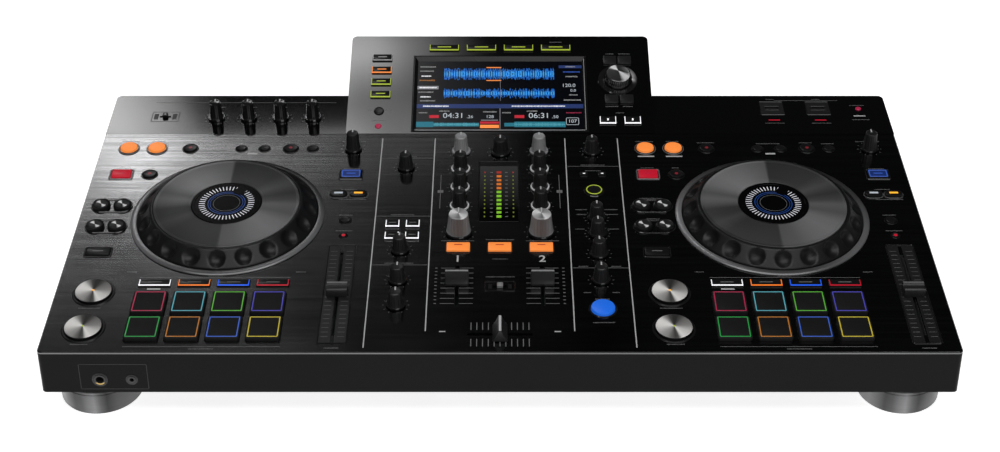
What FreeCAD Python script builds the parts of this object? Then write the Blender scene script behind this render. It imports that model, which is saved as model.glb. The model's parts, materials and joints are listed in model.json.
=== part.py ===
import FreeCAD, Part
import os
import re

import Sketcher
from FreeCAD import Rotation, Vector

# Driving dimensions: alias, value in millimetres or degrees, meaning.
SIZES = [
    ("body_width", 728.0, "overall width"),
    ("overall_depth", 469.0, "front foot of the face to the back of the display"),
    ("front_height", 68.0, "front edge of the panel above the floor"),
    ("panel_tilt", 2.5, "slope of the control panel, rising to the rear"),
    ("deck_depth", 305.3, "front edge to the seam, along the panel"),
    ("seam_width", 0.4, "seam between panel and rear strip"),
    ("strip_depth", 64.8, "rear strip, along the panel"),
    ("panel_thickness", 2.0, "top panel and rear strip"),
    ("face_height", 38.0, "front face under the panel edge"),
    ("face_lean", 3.0, "front face stands this far forward at its foot"),
    ("front_corner", 4.0, "plan radius of the front corners"),
    ("rear_corner", 5.0, "plan radius of the rear corners"),
    ("edge_bevel", 0.8, "bevel along the front edge of the panel"),
    ("case_wall", 2.5, "wall of the bottom case"),
    ("rib_width", 4.0, "cross rib under the seam"),
    ("post_radius", 5.0, "posts that carry the panel"),
    ("post_inset", 11.0, "outer posts in from the sides"),
    ("inner_post_x", 110.0, "posts between the boards"),
    ("front_post_s", 15.0, "front row of posts"),
    ("middle_post_s", 150.0, "middle row of posts"),
    ("rear_post_back", 15.0, "rear row of posts in front of the seam"),
    ("vent_width", 3.0, "cooling slot width"),
    ("vent_length", 42.0, "cooling slot length"),
    ("vent_pitch", 9.0, "cooling slot spacing"),
    ("vent_x", 170.0, "middle of a bank of slots from the centre line"),
    ("vent_y", 190.0, "middle of the banks behind the front edge"),
    ("foot_radius", 33.4, "foot"),
    ("foot_height", 22.6, "wide part of a foot"),
    ("foot_neck_radius", 26.0, "narrow neck over a foot"),
    ("foot_inset_x", 37.5, "foot centre in from the side"),
    ("foot_inset_y", 38.0, "foot centre in from the front and rear"),
    ("foot_bevel", 1.2, "bevel at the floor"),
    ("screw_radius", 1.5, "case screw shank"),
    ("screw_head_radius", 3.0, "case screw head"),
    ("screw_head_height", 1.8, "case screw head"),
    ("screw_length", 8.0, "case screw shank"),
    ("running_gap", 0.3, "clearance between parts that move past each other"),
    ("seat_gap", 0.4, "knobs and caps over the panel"),
    ("deck_inset", 128.7, "deck centre line in from the side"),
    ("jog_s", 178.6, "jog wheel centre behind the front edge"),
    ("ring_radius", 83.4, "jog trim ring"),
    ("ring_width", 3.5, "jog trim ring, on the panel"),
    ("ring_inner_radius", 77.9, "jog trim ring, inside"),
    ("ring_rise", 2.4, "jog trim ring over the panel"),
    ("ring_depth", 5.0, "jog trim ring under the panel surface"),
    ("wheel_height", 14.3, "jog wheel rim over the panel"),
    ("wheel_depth", 6.0, "jog wheel under the panel surface"),
    ("wheel_shoulder", 2.5, "foot of the gripped flank"),
    ("plate_radius", 62.75, "jog top plate"),
    ("plate_thickness", 2.5, "jog top plate"),
    ("rim_lip", 2.0, "rim round the top plate"),
    ("web_thickness", 3.0, "jog wheel web under the plate"),
    ("flank_depth", 2.5, "inside corner of the flank under the panel surface"),
    ("hub_radius", 36.0, "jog wheel hub and its bearing collar"),
    ("dimple_count", 20, "finger dimples round the flank"),
    ("dimple_radius", 9.0, "ball that shapes a dimple"),
    ("dimple_bite", 2.7, "dimple depth"),
    ("stem_radius", 30.0, "fixed display in the middle of the jog"),
    ("shaft_radius", 3.0, "knob shafts"),
    ("shaft_reach", 11.0, "knob shafts under the panel surface"),
    ("skirt_height", 2.2, "flange at the foot of a knob"),
    ("pointer_width", 1.2, "pointer groove"),
    ("pointer_depth", 0.8, "pointer groove"),
    ("equaliser_skirt", 8.45, "channel knob"),
    ("equaliser_top", 5.5, "channel knob"),
    ("equaliser_height", 18.0, "channel knob"),
    ("colour_skirt", 11.75, "filter knob"),
    ("colour_top", 8.35, "filter knob"),
    ("colour_height", 20.0, "filter knob"),
    ("slim_skirt", 8.0, "narrow knob"),
    ("slim_top", 5.5, "narrow knob"),
    ("slim_height", 15.0, "narrow knob"),
    ("rear_skirt", 8.0, "tall narrow knob"),
    ("rear_top", 5.25, "tall narrow knob"),
    ("rear_height", 18.0, "tall narrow knob"),
    ("master_skirt", 9.0, "master knob"),
    ("master_top", 6.0, "master knob"),
    ("master_height", 15.0, "master knob"),
    ("browse_skirt", 12.4, "browse knob"),
    ("browse_top", 11.6, "browse knob"),
    ("browse_height", 10.0, "browse knob"),
    ("pot_side", 12.0, "potentiometer body"),
    ("pot_height", 6.0, "potentiometer body"),
    ("board_drop", 12.0, "board top under the panel surface"),
    ("board_thickness", 1.6, "circuit boards"),
    ("board_margin", 6.0, "boards clear of the posts"),
    ("spacer_radius", 3.0, "spacers between panel and boards"),
    ("spacer_inset", 6.0, "spacers in from the corners of the rear boards"),
    ("flange_margin", 0.6, "button flange past the cap"),
    ("flange_thickness", 1.2, "button flange under the panel"),
    ("loop_radius", 7.75, "loop button"),
    ("loop_rise", 2.6, "loop button"),
    ("reloop_radius", 6.3, "small dark button"),
    ("reloop_rise", 1.8, "small dark button"),
    ("dot_radius", 4.5, "tiny round button"),
    ("dot_rise", 1.4, "tiny round button"),
    ("reset_radius", 2.8, "reset button"),
    ("reset_rise", 1.0, "reset button"),
    ("search_radius", 7.8, "search button"),
    ("search_rise", 3.2, "search button"),
    ("transport_radius", 14.75, "play and cue buttons"),
    ("transport_rise", 3.4, "play and cue buttons"),
    ("quantise_width", 17.0, "lit rectangular button"),
    ("quantise_length", 12.0, "lit rectangular button"),
    ("quantise_rise", 1.8, "lit rectangular button"),
    ("shift_width", 20.5, "shift button"),
    ("shift_length", 11.0, "shift button"),
    ("shift_rise", 1.8, "shift button"),
    ("sync_width", 18.5, "blue framed button"),
    ("sync_length", 12.5, "blue framed button"),
    ("sync_rise", 1.8, "blue framed button"),
    ("tempo_button_width", 15.4, "tempo range buttons"),
    ("tempo_button_length", 9.0, "tempo range buttons"),
    ("tempo_button_rise", 2.4, "tempo range buttons"),
    ("mode_width", 26.6, "pad mode button"),
    ("mode_length", 8.8, "pad mode button"),
    ("mode_rise", 1.2, "pad mode button"),
    ("pad_side", 27.4, "performance pad"),
    ("pad_rise", 3.4, "performance pad"),
    ("effect_width", 11.6, "effect button"),
    ("effect_length", 9.4, "effect button"),
    ("effect_rise", 1.4, "effect button"),
    ("cue_width", 19.6, "orange monitor button"),
    ("cue_length", 11.0, "orange monitor button"),
    ("cue_rise", 1.8, "orange monitor button"),
    ("beat_width", 7.0, "beat button"),
    ("beat_length", 5.0, "beat button"),
    ("beat_rise", 1.2, "beat button"),
    ("tap_radius", 7.4, "ringed button"),
    ("tap_rise", 2.0, "ringed button"),
    ("release_radius", 9.7, "large blue button"),
    ("release_rise", 3.0, "large blue button"),
    ("menu_width", 28.0, "button over the screen"),
    ("menu_length", 7.4, "button over the screen"),
    ("menu_rise", 1.4, "button over the screen"),
    ("source_width", 18.6, "button left of the screen"),
    ("source_length", 8.2, "button left of the screen"),
    ("source_rise", 1.4, "button left of the screen"),
    ("back_width", 12.8, "buttons round the browse knob"),
    ("back_length", 10.5, "buttons round the browse knob"),
    ("back_rise", 1.6, "buttons round the browse knob"),
    ("load_width", 15.0, "load button"),
    ("load_length", 8.8, "load button"),
    ("load_rise", 1.4, "load button"),
    ("fader_width", 19.4, "channel and cross fader caps"),
    ("fader_base", 12.0, "channel and cross fader caps, along the travel"),
    ("fader_height", 12.0, "channel and cross fader caps"),
    ("fader_ridge", 2.6, "ridge on the fader caps"),
    ("tempo_cap_width", 17.5, "tempo slider cap"),
    ("tempo_cap_base", 12.0, "tempo slider cap, along the travel"),
    ("tempo_cap_height", 8.0, "tempo slider cap"),
    ("switch_cap_width", 5.0, "slide switch cap"),
    ("switch_cap_base", 5.0, "slide switch cap, along the travel"),
    ("switch_cap_height", 3.0, "slide switch cap"),
    ("stalk_width", 2.0, "stalk of a slider cap"),
    ("stalk_length", 6.0, "stalk of a slider cap, along the travel"),
    ("slot_width", 3.0, "slider slot"),
    ("switch_stalk_length", 3.0, "stalk of a switch cap, along the travel"),
    ("meter_width", 35.6, "level meter window"),
    ("meter_length", 91.6, "level meter window"),
    ("meter_s", 216.0, "level meter centre"),
    ("meter_x", -0.9, "level meter centre"),
    ("meter_depth", 5.0, "level meter window block"),
    ("display_half_width", 142.5, "display housing"),
    ("display_start", 0.5, "foot of the display face behind the seam"),
    ("display_slope", 15.0, "display face over the panel"),
    ("display_length", 124.5, "display face, foot to top"),
    ("display_corner", 5.0, "top corners of the display"),
    ("face_thickness", 2.0, "display face plate"),
    ("housing_wall", 2.5, "display housing"),
    ("housing_drop", 16.0, "display housing behind the body, under the panel surface"),
    ("housing_back", 9.0, "upright back edge of the display housing"),
    ("face_rim", 4.0, "rim of the housing under the face plate"),
    ("screen_width", 164.4, "screen module"),
    ("screen_length", 96.6, "screen module"),
    ("screen_foot", 1.9, "screen module over the display foot"),
    ("screen_depth", 9.0, "screen module behind the face"),
    ("screen_bevel_depth", 2.2, "glass under the face"),
    ("glass_width", 156.0, "visible glass"),
    ("glass_length", 86.0, "visible glass"),
    ("jack_drop", 26.0, "headphone jacks under the panel edge"),
    ("jack_bore", 3.25, "large jack bore radius"),
    ("jack_ring", 4.7, "large jack ring radius"),
    ("jack_depth", 26.0, "large jack bore depth"),
    ("jack_block", 14.0, "large jack body"),
    ("mini_bore", 1.8, "small jack bore radius"),
    ("mini_ring", 3.2, "small jack ring radius"),
    ("mini_depth", 15.0, "small jack bore depth"),
    ("mini_block", 9.0, "small jack body"),
    ("jack_side", 47.4, "large headphone jack in from the side"),
    ("mini_side", 72.7, "small headphone jack in from the side"),
    ("socket_height", 18.0, "rear sockets over the case floor"),
    ("mic_jack_side", 64.0, "first microphone jack in from the side"),
    ("mic_jack_pitch", 26.0, "microphone jack spacing"),
    ("output_jack_x", 34.0, "first output jack"),
    ("output_jack_pitch", 26.0, "output jack spacing"),
    ("phono_x", -96.0, "first phono socket"),
    ("phono_pitch", 20.0, "phono sockets, across"),
    ("phono_rise", 16.0, "phono sockets, up"),
    ("phono_radius", 4.2, "phono socket barrel"),
    ("phono_bore", 1.6, "phono socket centre contact"),
    ("phono_collar", 5.2, "phono socket collar through the case wall"),
    ("phono_lip", 0.6, "phono socket collar behind the case"),
    ("phono_reach", 9.0, "phono socket barrel behind the case"),
    ("phono_flange", 6.0, "phono socket base radius"),
    ("phono_body", 10.0, "phono socket base depth"),
    ("inlet_side", 62.0, "power inlet in from the side"),
    ("inlet_width", 24.4, "power inlet recess"),
    ("inlet_height", 16.4, "power inlet recess"),
    ("inlet_depth", 17.0, "power inlet recess"),
    ("inlet_wall", 2.0, "power inlet body"),
    ("prong_length", 11.0, "power inlet prongs"),
    ("prong_width", 2.0, "power inlet prongs"),
    ("prong_height", 4.0, "power inlet prongs"),
    ("prong_spread", 7.0, "outer prongs from the middle one"),
    ("rocker_side", 102.0, "power rocker in from the side"),
    ("rocker_width", 19.0, "power rocker"),
    ("rocker_half_height", 6.3, "power rocker"),
    ("rocker_reach", 6.0, "power rocker in front of its pivot"),
    ("rocker_depth", 4.0, "pivot inside the rear wall"),
    ("rocker_room", 1.5, "room over and under the rocker"),
    ("rocker_wall", 2.0, "power switch frame"),
    ("usb_block", 21.2, "usb socket block"),
    ("usb_depth", 15.0, "usb socket block"),
    ("usb_mouth_width", 12.8, "usb socket mouth"),
    ("usb_mouth_length", 5.4, "usb socket mouth"),
    ("usb_mouth_depth", 13.0, "usb socket mouth"),
    ("usb_side", 64.5, "outer usb socket in from the side"),
    ("usb_pitch", 43.25, "usb socket spacing"),
    ("usb_back", 22.1, "usb sockets in front of the rear edge"),
    ("supply_width", 140.0, "power supply"),
    ("supply_depth", 33.0, "power supply"),
    ("supply_height", 28.0, "power supply"),
    ("supply_side", 40.0, "power supply in from the side"),
    ("supply_gap", 4.0, "power supply behind the rib"),
    ("transformer_side", 26.0, "transformer beside the supply"),
]

# Round knobs: node, shape, area, place across and place along the surface.
KNOBS = [
    ("mic_one_level_knob", "rear", "left_rear", 99.0, 26.7),
    ("mic_two_level_knob", "rear", "left_rear", 129.0, 26.7),
    ("mic_high_knob", "rear", "left_rear", 159.0, 26.7),
    ("mic_low_knob", "rear", "left_rear", 189.0, 26.7),
    ("left_jog_feel_knob", "rear", "left_deck", 101.55, 281.0),
    ("right_jog_feel_knob", "rear", "right_deck", 101.55, 281.0),
    ("effect_level_knob", "slim", "mixer", -84.5, 252.0),
    ("effect_parameter_knob", "slim", "mixer", -84.5, 130.75),
    ("cue_mix_knob", "slim", "mixer", -84.5, 90.5),
    ("headphone_level_knob", "slim", "mixer", -84.5, 58.0),
    ("left_trim_knob", "equaliser", "mixer", -35.3, 276.5),
    ("left_high_knob", "equaliser", "mixer", -35.3, 248.5),
    ("left_mid_knob", "equaliser", "mixer", -35.3, 220.5),
    ("left_low_knob", "equaliser", "mixer", -35.3, 192.5),
    ("left_filter_knob", "colour", "mixer", -35.3, 156.0),
    ("right_trim_knob", "equaliser", "mixer", 35.3, 276.5),
    ("right_high_knob", "equaliser", "mixer", 35.3, 248.5),
    ("right_mid_knob", "equaliser", "mixer", 35.3, 220.5),
    ("right_low_knob", "equaliser", "mixer", 35.3, 192.5),
    ("right_filter_knob", "colour", "mixer", 35.3, 156.0),
    ("master_level_knob", "master", "mixer", 0.2, 276.0),
    ("booth_level_knob", "slim", "mixer", 83.3, 277.0),
    ("beat_effect_knob", "slim", "mixer", 83.3, 176.0),
    ("effect_channel_knob", "slim", "mixer", 83.3, 153.75),
    ("effect_time_knob", "slim", "mixer", 83.3, 125.5),
    ("effect_depth_knob", "slim", "mixer", 83.3, 90.5),
    ("browse_knob", "browse", "display", 111.6, 67.0),
]

# Push buttons that both decks have: name, shape, place across and along.
DECK_BUTTONS = [
    ("loop_in", "loop", -102.95, 281.25),
    ("loop_out", "loop", -77.45, 281.25),
    ("loop_exit", "reloop", -46.95, 281.25),
    ("memory_back", "dot", -0.45, 281.25),
    ("memory_on", "dot", 20.55, 281.25),
    ("memory_store", "reloop", 44.55, 281.25),
    ("memory_clear", "dot", 64.55, 281.25),
    ("quantise", "quantise", -102.95, 240.5),
    ("slip", "reloop", -77.7, 240.5),
    ("track_back", "search", -112.2, 193.0),
    ("track_on", "search", -93.7, 193.0),
    ("search_back", "search", -112.2, 163.25),
    ("search_on", "search", -93.7, 163.25),
    ("shift", "shift", -103.1, 127.5),
    ("cue", "transport", -96.7, 73.25),
    ("play", "transport", -96.7, 28.25),
    ("sync", "sync", 102.3, 240.3),
    ("master_tempo", "tempo_button", 93.3, 210.0),
    ("tempo_range", "tempo_button", 110.8, 210.0),
    ("key_sync", "dot", 101.8, 172.0),
    ("tempo_reset", "reset", 101.8, 150.5),
]

# Push buttons of the mixer.
MIXER_BUTTONS = [
    ("colour_one", "effect", -92.4, 166.6),
    ("colour_two", "effect", -75.0, 166.6),
    ("colour_three", "effect", -92.4, 149.6),
    ("colour_four", "effect", -75.0, 149.6),
    ("left_monitor", "cue", -35.3, 134.0),
    ("master_monitor", "cue", -0.2, 134.0),
    ("right_monitor", "cue", 35.0, 134.0),
    ("beat_down", "beat", 75.0, 241.0),
    ("beat_up", "beat", 91.25, 241.0),
    ("tap", "tap", 83.0, 215.5),
    ("effect_on", "release", 83.3, 53.0),
]

# Push buttons of the display, measured from its centre line and its foot.
DISPLAY_BUTTONS = [
    ("menu_one", "menu", -53.5, 108.2),
    ("menu_two", "menu", -17.8, 108.2),
    ("menu_three", "menu", 17.8, 108.2),
    ("menu_four", "menu", 53.5, 108.2),
    ("source_one", "source", -112.4, 95.2),
    ("source_two", "source", -112.4, 79.2),
    ("source_three", "source", -112.4, 63.9),
    ("source_four", "source", -112.4, 48.0),
    ("time_mode", "dot", -113.0, 27.6),
    ("screen_lock", "reset", -113.0, 9.0),
    ("back", "back", 104.7, 92.2),
    ("tag", "back", 118.9, 92.2),
    ("track_filter", "back", 104.7, 42.3),
    ("shortcut", "back", 118.9, 42.3),
    ("load_left", "load", 100.3, 15.5),
    ("load_right", "load", 123.3, 15.5),
]

# Rows of pad mode buttons and pads: first place and spacing.
PAD_LAYOUT = [
    ("mode_first_x", -48.6, "first pad mode button"),
    ("mode_pitch", 32.37, "pad mode buttons"),
    ("mode_s", 85.5, "pad mode buttons"),
    ("pad_first_x", -49.2, "first pad column"),
    ("pad_pitch_x", 32.2, "pad columns"),
    ("pad_first_s", 27.1, "front pad row"),
    ("pad_pitch_s", 31.8, "pad rows"),
]
# Spacers between the panel and the deck and mixer boards: name, area, place across and along.
SPACERS = [
    ("deck_spacer_one", "deck", -102.0, 105.0),
    ("deck_spacer_two", "deck", -102.0, 217.0),
    ("deck_spacer_three", "deck", 80.0, 20.0),
    ("deck_spacer_four", "deck", 80.0, 262.0),
    ("mixer_spacer_one", "mixer", -60.0, 20.0),
    ("mixer_spacer_two", "mixer", -60.0, 285.0),
    ("mixer_spacer_three", "mixer", 60.0, 20.0),
    ("mixer_spacer_four", "mixer", 60.0, 285.0),
]
PAD_COLUMNS = 4
PAD_ROWS = 2

# Sliders: node, cap, area, place, travel down and up from rest, across or along the panel.
SLIDERS = [
    ("left_tempo_slider", "tempo_cap", "left_deck", 102.3, 73.75, 50.0, 50.0, "along"),
    ("right_tempo_slider", "tempo_cap", "right_deck", 102.3, 73.75, 50.0, 50.0, "along"),
    ("left_channel_fader", "fader", "mixer", -35.5, 88.0, 27.0, 18.0, "along"),
    ("right_channel_fader", "fader", "mixer", 35.1, 88.0, 27.0, 18.0, "along"),
    ("crossfader", "fader", "mixer", 0.0, 21.4, 22.5, 22.5, "across"),
    ("fader_curve_switch", "switch_cap", "mixer", 0.0, 81.5, 3.5, 3.5, "across"),
    ("mic_switch", "switch_cap", "left_rear", 50.8, 29.0, 3.5, 3.5, "across"),
]

ROUND_SHAPES = {"loop", "reloop", "dot", "reset", "search", "transport", "tap", "release"}

PARTS_FOLDER = "parts"
SHEET_NAME = "Sizes"
SIDES = {"left": -1, "right": 1}
OVERCUT = 5.0
FRONT_LINE = "(face_lean - overall_depth / 2)"
PANEL_DEPTH = "(deck_depth + seam_width + strip_depth)"
CASE_BASE = "(front_height - face_height)"
CASE_FLOOR = f"({CASE_BASE} + case_wall)"
REAR_OUT = f"({PANEL_DEPTH} * cos(panel_tilt) + panel_thickness * sin(panel_tilt))"
DECK_OFFSET = "(body_width / 2 - deck_inset)"
DISPLAY_S = "(deck_depth + seam_width + display_start)"

doc = FreeCAD.newDocument("dj_system")
sheet = doc.addObject("Spreadsheet::Sheet", SHEET_NAME)
subparts = {}


def add_sizes(rows):
    """Write rows of alias, value and meaning under the last used row of the sheet."""
    for alias, amount, meaning in rows:
        row = add_sizes.next_row
        sheet.set(f"A{row}", alias)
        sheet.set(f"B{row}", str(amount))
        sheet.set(f"C{row}", meaning)
        sheet.setAlias(f"B{row}", alias)
        add_sizes.next_row += 1


add_sizes.next_row = 1


def formula(text):
    """Name the sheet in front of each alias of a formula."""
    return re.sub(r"\b[a-z]+(?:_[a-z0-9]+)+\b", lambda found: f"{SHEET_NAME}.{found.group(0)}", text)


def bind(target, sizes):
    for name, text in sizes.items():
        target.setExpression(name, formula(str(text)))


def amount_of(text):
    """Value of a formula with the sizes as they stand."""
    result = sheet.evalExpression(formula(str(text)))
    return float(getattr(result, "Value", result))


def place(piece, surface, across="0", along="0"):
    """Set a piece on the panel, the display or the case, at a place across and along it."""
    if surface == "panel":
        angle = "panel_tilt"
        front = f"{FRONT_LINE} + ({along}) * cos(panel_tilt)"
        height = f"front_height + ({along}) * sin(panel_tilt)"
    elif surface == "display":
        angle = "panel_tilt + display_slope"
        front = f"{FRONT_LINE} + {DISPLAY_S} * cos(panel_tilt) + ({along}) * cos({angle})"
        height = f"front_height + {DISPLAY_S} * sin(panel_tilt) + ({along}) * sin({angle})"
    else:
        angle = "0"
        front = f"{FRONT_LINE} + ({along})"
        height = "0"
    piece.Placement.Rotation = Rotation(Vector(1, 0, 0), amount_of(angle))
    bind(piece, {
        "Placement.Base.x": across,
        "Placement.Base.y": front,
        "Placement.Base.z": height,
    })
    if angle != "0":
        bind(piece, {"Placement.Rotation.Angle": angle})


def keep(piece, node, surface=None, across="0", along="0"):
    """Name a finished piece as a sub-part of the product."""
    piece.Label = node
    if surface:
        place(piece, surface, across, along)
    subparts[node] = piece
    return piece


def block(name, low, size):
    """Box from its low corner and its size."""
    piece = doc.addObject("Part::Box", name)
    bind(piece, {
        "Length": size[0], "Width": size[1], "Height": size[2],
        "Placement.Base.x": low[0], "Placement.Base.y": low[1], "Placement.Base.z": low[2],
    })
    return piece


def middle_block(name, centre, size, bottom):
    """Box centred in plan, standing on a height."""
    low = (f"{centre[0]} - ({size[0]}) / 2", f"{centre[1]} - ({size[1]}) / 2", bottom)
    return block(name, low, size)


def rod(name, centre, radius, bottom, height):
    """Upright cylinder."""
    piece = doc.addObject("Part::Cylinder", name)
    bind(piece, {
        "Radius": radius, "Height": height,
        "Placement.Base.x": centre[0], "Placement.Base.y": centre[1], "Placement.Base.z": bottom,
    })
    return piece


def level_rod(name, centre, radius, start, length):
    """Cylinder that lies front to back, from its front end."""
    piece = doc.addObject("Part::Cylinder", name)
    piece.Placement.Rotation = Rotation(Vector(1, 0, 0), -90)
    bind(piece, {
        "Radius": radius, "Height": length,
        "Placement.Base.x": centre[0], "Placement.Base.y": start, "Placement.Base.z": centre[1],
    })
    return piece


def join(name, pieces):
    piece = doc.addObject("Part::MultiFuse", name)
    piece.Shapes = pieces
    return piece


def group(name, pieces):
    piece = doc.addObject("Part::Compound", name)
    piece.Links = pieces
    return piece


def cut(name, base, tools):
    piece = doc.addObject("Part::Cut", name)
    piece.Base = base
    piece.Tool = group(f"{name}_openings", tools)
    return piece


def origin_plane(body, role):
    return next(item for item in body.Origin.OriginFeatures if item.Role == role)


def outline(body, name, role, points, height="0"):
    """Closed outline on an origin plane of a body, each corner bound to the sheet."""
    sketch = body.newObject("Sketcher::SketchObject", name)
    sketch.AttachmentSupport = [(origin_plane(body, role), "")]
    sketch.MapMode = "FlatFace"
    if height != "0":
        bind(sketch, {"AttachmentOffset.Base.z": height})
    spots = [Vector(amount_of(across), amount_of(up), 0) for across, up in points]
    count = len(points)
    for index in range(count):
        sketch.addGeometry(Part.LineSegment(spots[index], spots[(index + 1) % count]), False)
    for index in range(count):
        sketch.addConstraint(Sketcher.Constraint("Coincident", index, 2, (index + 1) % count, 1))
    for index, (across, up) in enumerate(points):
        for kind, axis, text, value in (("DistanceX", -2, across, spots[index].x),
                                        ("DistanceY", -1, up, spots[index].y)):
            if str(text) == "0":
                sketch.addConstraint(Sketcher.Constraint("PointOnObject", index, 1, axis))
            else:
                number = sketch.addConstraint(Sketcher.Constraint(kind, -1, 1, index, 1, value))
                sketch.setExpression(f"Constraints[{number}]", formula(str(text)))
    return sketch


def rectangle(body, name, low, high, height="0"):
    """Rectangle in plan."""
    corners = [(low[0], low[1]), (high[0], low[1]), (high[0], high[1]), (low[0], high[1])]
    return outline(body, name, "XY_Plane", corners, height)


def pad(body, sketch, length, both_ways=False, downwards=False):
    feature = body.newObject("PartDesign::Pad", f"{sketch.Name}_pad")
    feature.Profile = sketch
    feature.Midplane = both_ways
    feature.Reversed = downwards
    bind(feature, {"Length": length})
    return feature


def pocket(body, sketch, length, both_ways=False):
    feature = body.newObject("PartDesign::Pocket", f"{sketch.Name}_pocket")
    feature.Profile = sketch
    feature.Midplane = both_ways
    bind(feature, {"Length": length})
    return feature


def turn(body, sketch):
    """Revolve an outline about the upright axis of its sketch."""
    feature = body.newObject("PartDesign::Revolution", f"{sketch.Name}_turn")
    feature.Profile = sketch
    feature.ReferenceAxis = (sketch, ["V_Axis"])
    feature.Angle = 360
    return feature


def turned_body(name, points):
    body = doc.addObject("PartDesign::Body", name)
    turn(body, outline(body, f"{name}_profile", "XZ_Plane", points))
    return body


def edges_where(shape, test):
    """Names of the edges whose middle point and direction pass a test."""
    names = []
    for number, edge in enumerate(shape.Edges, 1):
        start = edge.Vertexes[0].Point
        end = edge.Vertexes[-1].Point
        if test((start + end) / 2, end - start):
            names.append(f"Edge{number}")
    return names


def round_edges(body, feature, name, radius, test, kind="PartDesign::Fillet"):
    """Round or bevel the edges of a feature that pass a test."""
    doc.recompute()
    dressing = body.newObject(kind, name)
    dressing.Base = (feature, edges_where(feature.Shape, test))
    bind(dressing, {"Radius" if kind.endswith("Fillet") else "Size": radius})
    return dressing


def area_place(area, alias):
    """Place across and along the panel of a control, from its area and its own two cells."""
    across, along = f"{alias}_x", f"{alias}_s"
    if area == "left_deck":
        return f"({across} - {DECK_OFFSET})", along
    if area == "right_deck":
        return f"({across} + {DECK_OFFSET})", along
    if area == "left_rear":
        return f"({across} - body_width / 2)", f"({along} + deck_depth)"
    return across, along


def button_size(shape):
    """Width and length of a button cap, or its radius twice."""
    if shape in ROUND_SHAPES:
        return f"{shape}_radius", f"{shape}_radius"
    if shape == "pad":
        return "pad_side", "pad_side"
    return f"{shape}_width", f"{shape}_length"


def button(name, shape, across, along, skin="panel_thickness"):
    """Button cap with the flange that holds it under the panel."""
    width, length = button_size(shape)
    foot = f"-({skin} + flange_thickness)"
    height = f"{shape}_rise + {skin} + flange_thickness"
    if shape in ROUND_SHAPES:
        cap = rod(f"{name}_cap", (across, along), width, foot, height)
        flange = rod(f"{name}_flange", (across, along), f"{width} + flange_margin", foot, "flange_thickness")
    else:
        wide = f"{width} + 2 * flange_margin"
        long = f"{length} + 2 * flange_margin"
        cap = middle_block(f"{name}_cap", (across, along), (width, length, height), foot)
        flange = middle_block(f"{name}_flange", (across, along), (wide, long, "flange_thickness"), foot)
    return join(name, [cap, flange])


def button_opening(name, shape, across, along, skin="panel_thickness"):
    """Opening that a button cap moves in."""
    width, length = button_size(shape)
    bottom = f"-{skin} - {OVERCUT}"
    height = f"{skin} + {2 * OVERCUT}"
    if shape in ROUND_SHAPES:
        return rod(f"{name}_opening", (across, along), f"{width} + running_gap", bottom, height)
    wide = f"{width} + 2 * running_gap"
    long = f"{length} + 2 * running_gap"
    return middle_block(f"{name}_opening", (across, along), (wide, long, height), bottom)


def shaft_opening(name, across, along, skin="panel_thickness"):
    bottom = f"-{skin} - {OVERCUT}"
    return rod(f"{name}_opening", (across, along), "shaft_radius + 2 * running_gap", bottom,
               f"{skin} + {2 * OVERCUT}")


def knob(node, shape):
    """Knob with its skirt, tapered grip, pointer groove and shaft, turned about its own axis."""
    skirt, top, height = f"{shape}_skirt", f"{shape}_top", f"{shape}_height"
    body = turned_body(node, [
        ("0", "-shaft_reach"),
        ("shaft_radius", "-shaft_reach"),
        ("shaft_radius", "seat_gap"),
        (skirt, "seat_gap"),
        (skirt, "seat_gap + skirt_height"),
        (f"({skirt} + {top}) / 2", "seat_gap + skirt_height + 1"),
        (top, height),
        ("0", height),
    ])
    groove = rectangle(body, f"{node}_pointer", ("-pointer_width / 2", "pointer_width"),
                       ("pointer_width / 2", skirt), height)
    pocket(body, groove, "pointer_depth")
    return body


def potentiometer(name, across, along, bottom="-board_drop"):
    """Potentiometer body on its board, bored for the shaft of its knob."""
    body = middle_block(f"{name}_body", (across, along), ("pot_side", "pot_side", "pot_height"), bottom)
    bore = rod(f"{name}_bore", (across, along), "shaft_radius + running_gap", bottom, f"pot_height + {OVERCUT}")
    piece = doc.addObject("Part::Cut", name)
    piece.Base = body
    piece.Tool = bore
    return piece


def slider_sizes(cap, down, up):
    """Stalk length, slot length, slot middle and slot width of a slider."""
    stalk = "switch_stalk_length" if cap == "switch_cap" else "stalk_length"
    length = f"({down} + {up} + {stalk} + 2 * running_gap)"
    middle = f"({up} - {down}) / 2"
    return stalk, length, middle


def slider_slot(name, across, along, cap, down, up, way, bottom, height):
    """Slot that the stalk of a slider runs in."""
    _stalk, length, middle = slider_sizes(cap, down, up)
    if way == "along":
        return middle_block(name, (across, f"({along} + {middle})"), ("slot_width", length, height), bottom)
    return middle_block(name, (f"({across} + {middle})", along), (length, "slot_width", height), bottom)


def slider_track(name, across, along, cap, down, up, way):
    """Track of a slider on its board, open along the middle for the stalk."""
    _stalk, length, middle = slider_sizes(cap, down, up)
    long = f"{length} + 2 * slot_width"
    wide = "4 * slot_width"
    tall = "board_drop - panel_thickness - flange_thickness"
    if way == "along":
        centre = (across, f"({along} + {middle})")
        size = (wide, long, tall)
    else:
        centre = (f"({across} + {middle})", along)
        size = (long, wide, tall)
    body = middle_block(f"{name}_body", centre, size, "-board_drop")
    channel = slider_slot(f"{name}_channel", across, along, cap, down, up, way,
                          "-board_drop", f"{tall} + {OVERCUT}")
    piece = doc.addObject("Part::Cut", name)
    piece.Base = body
    piece.Tool = channel
    return piece


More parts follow.
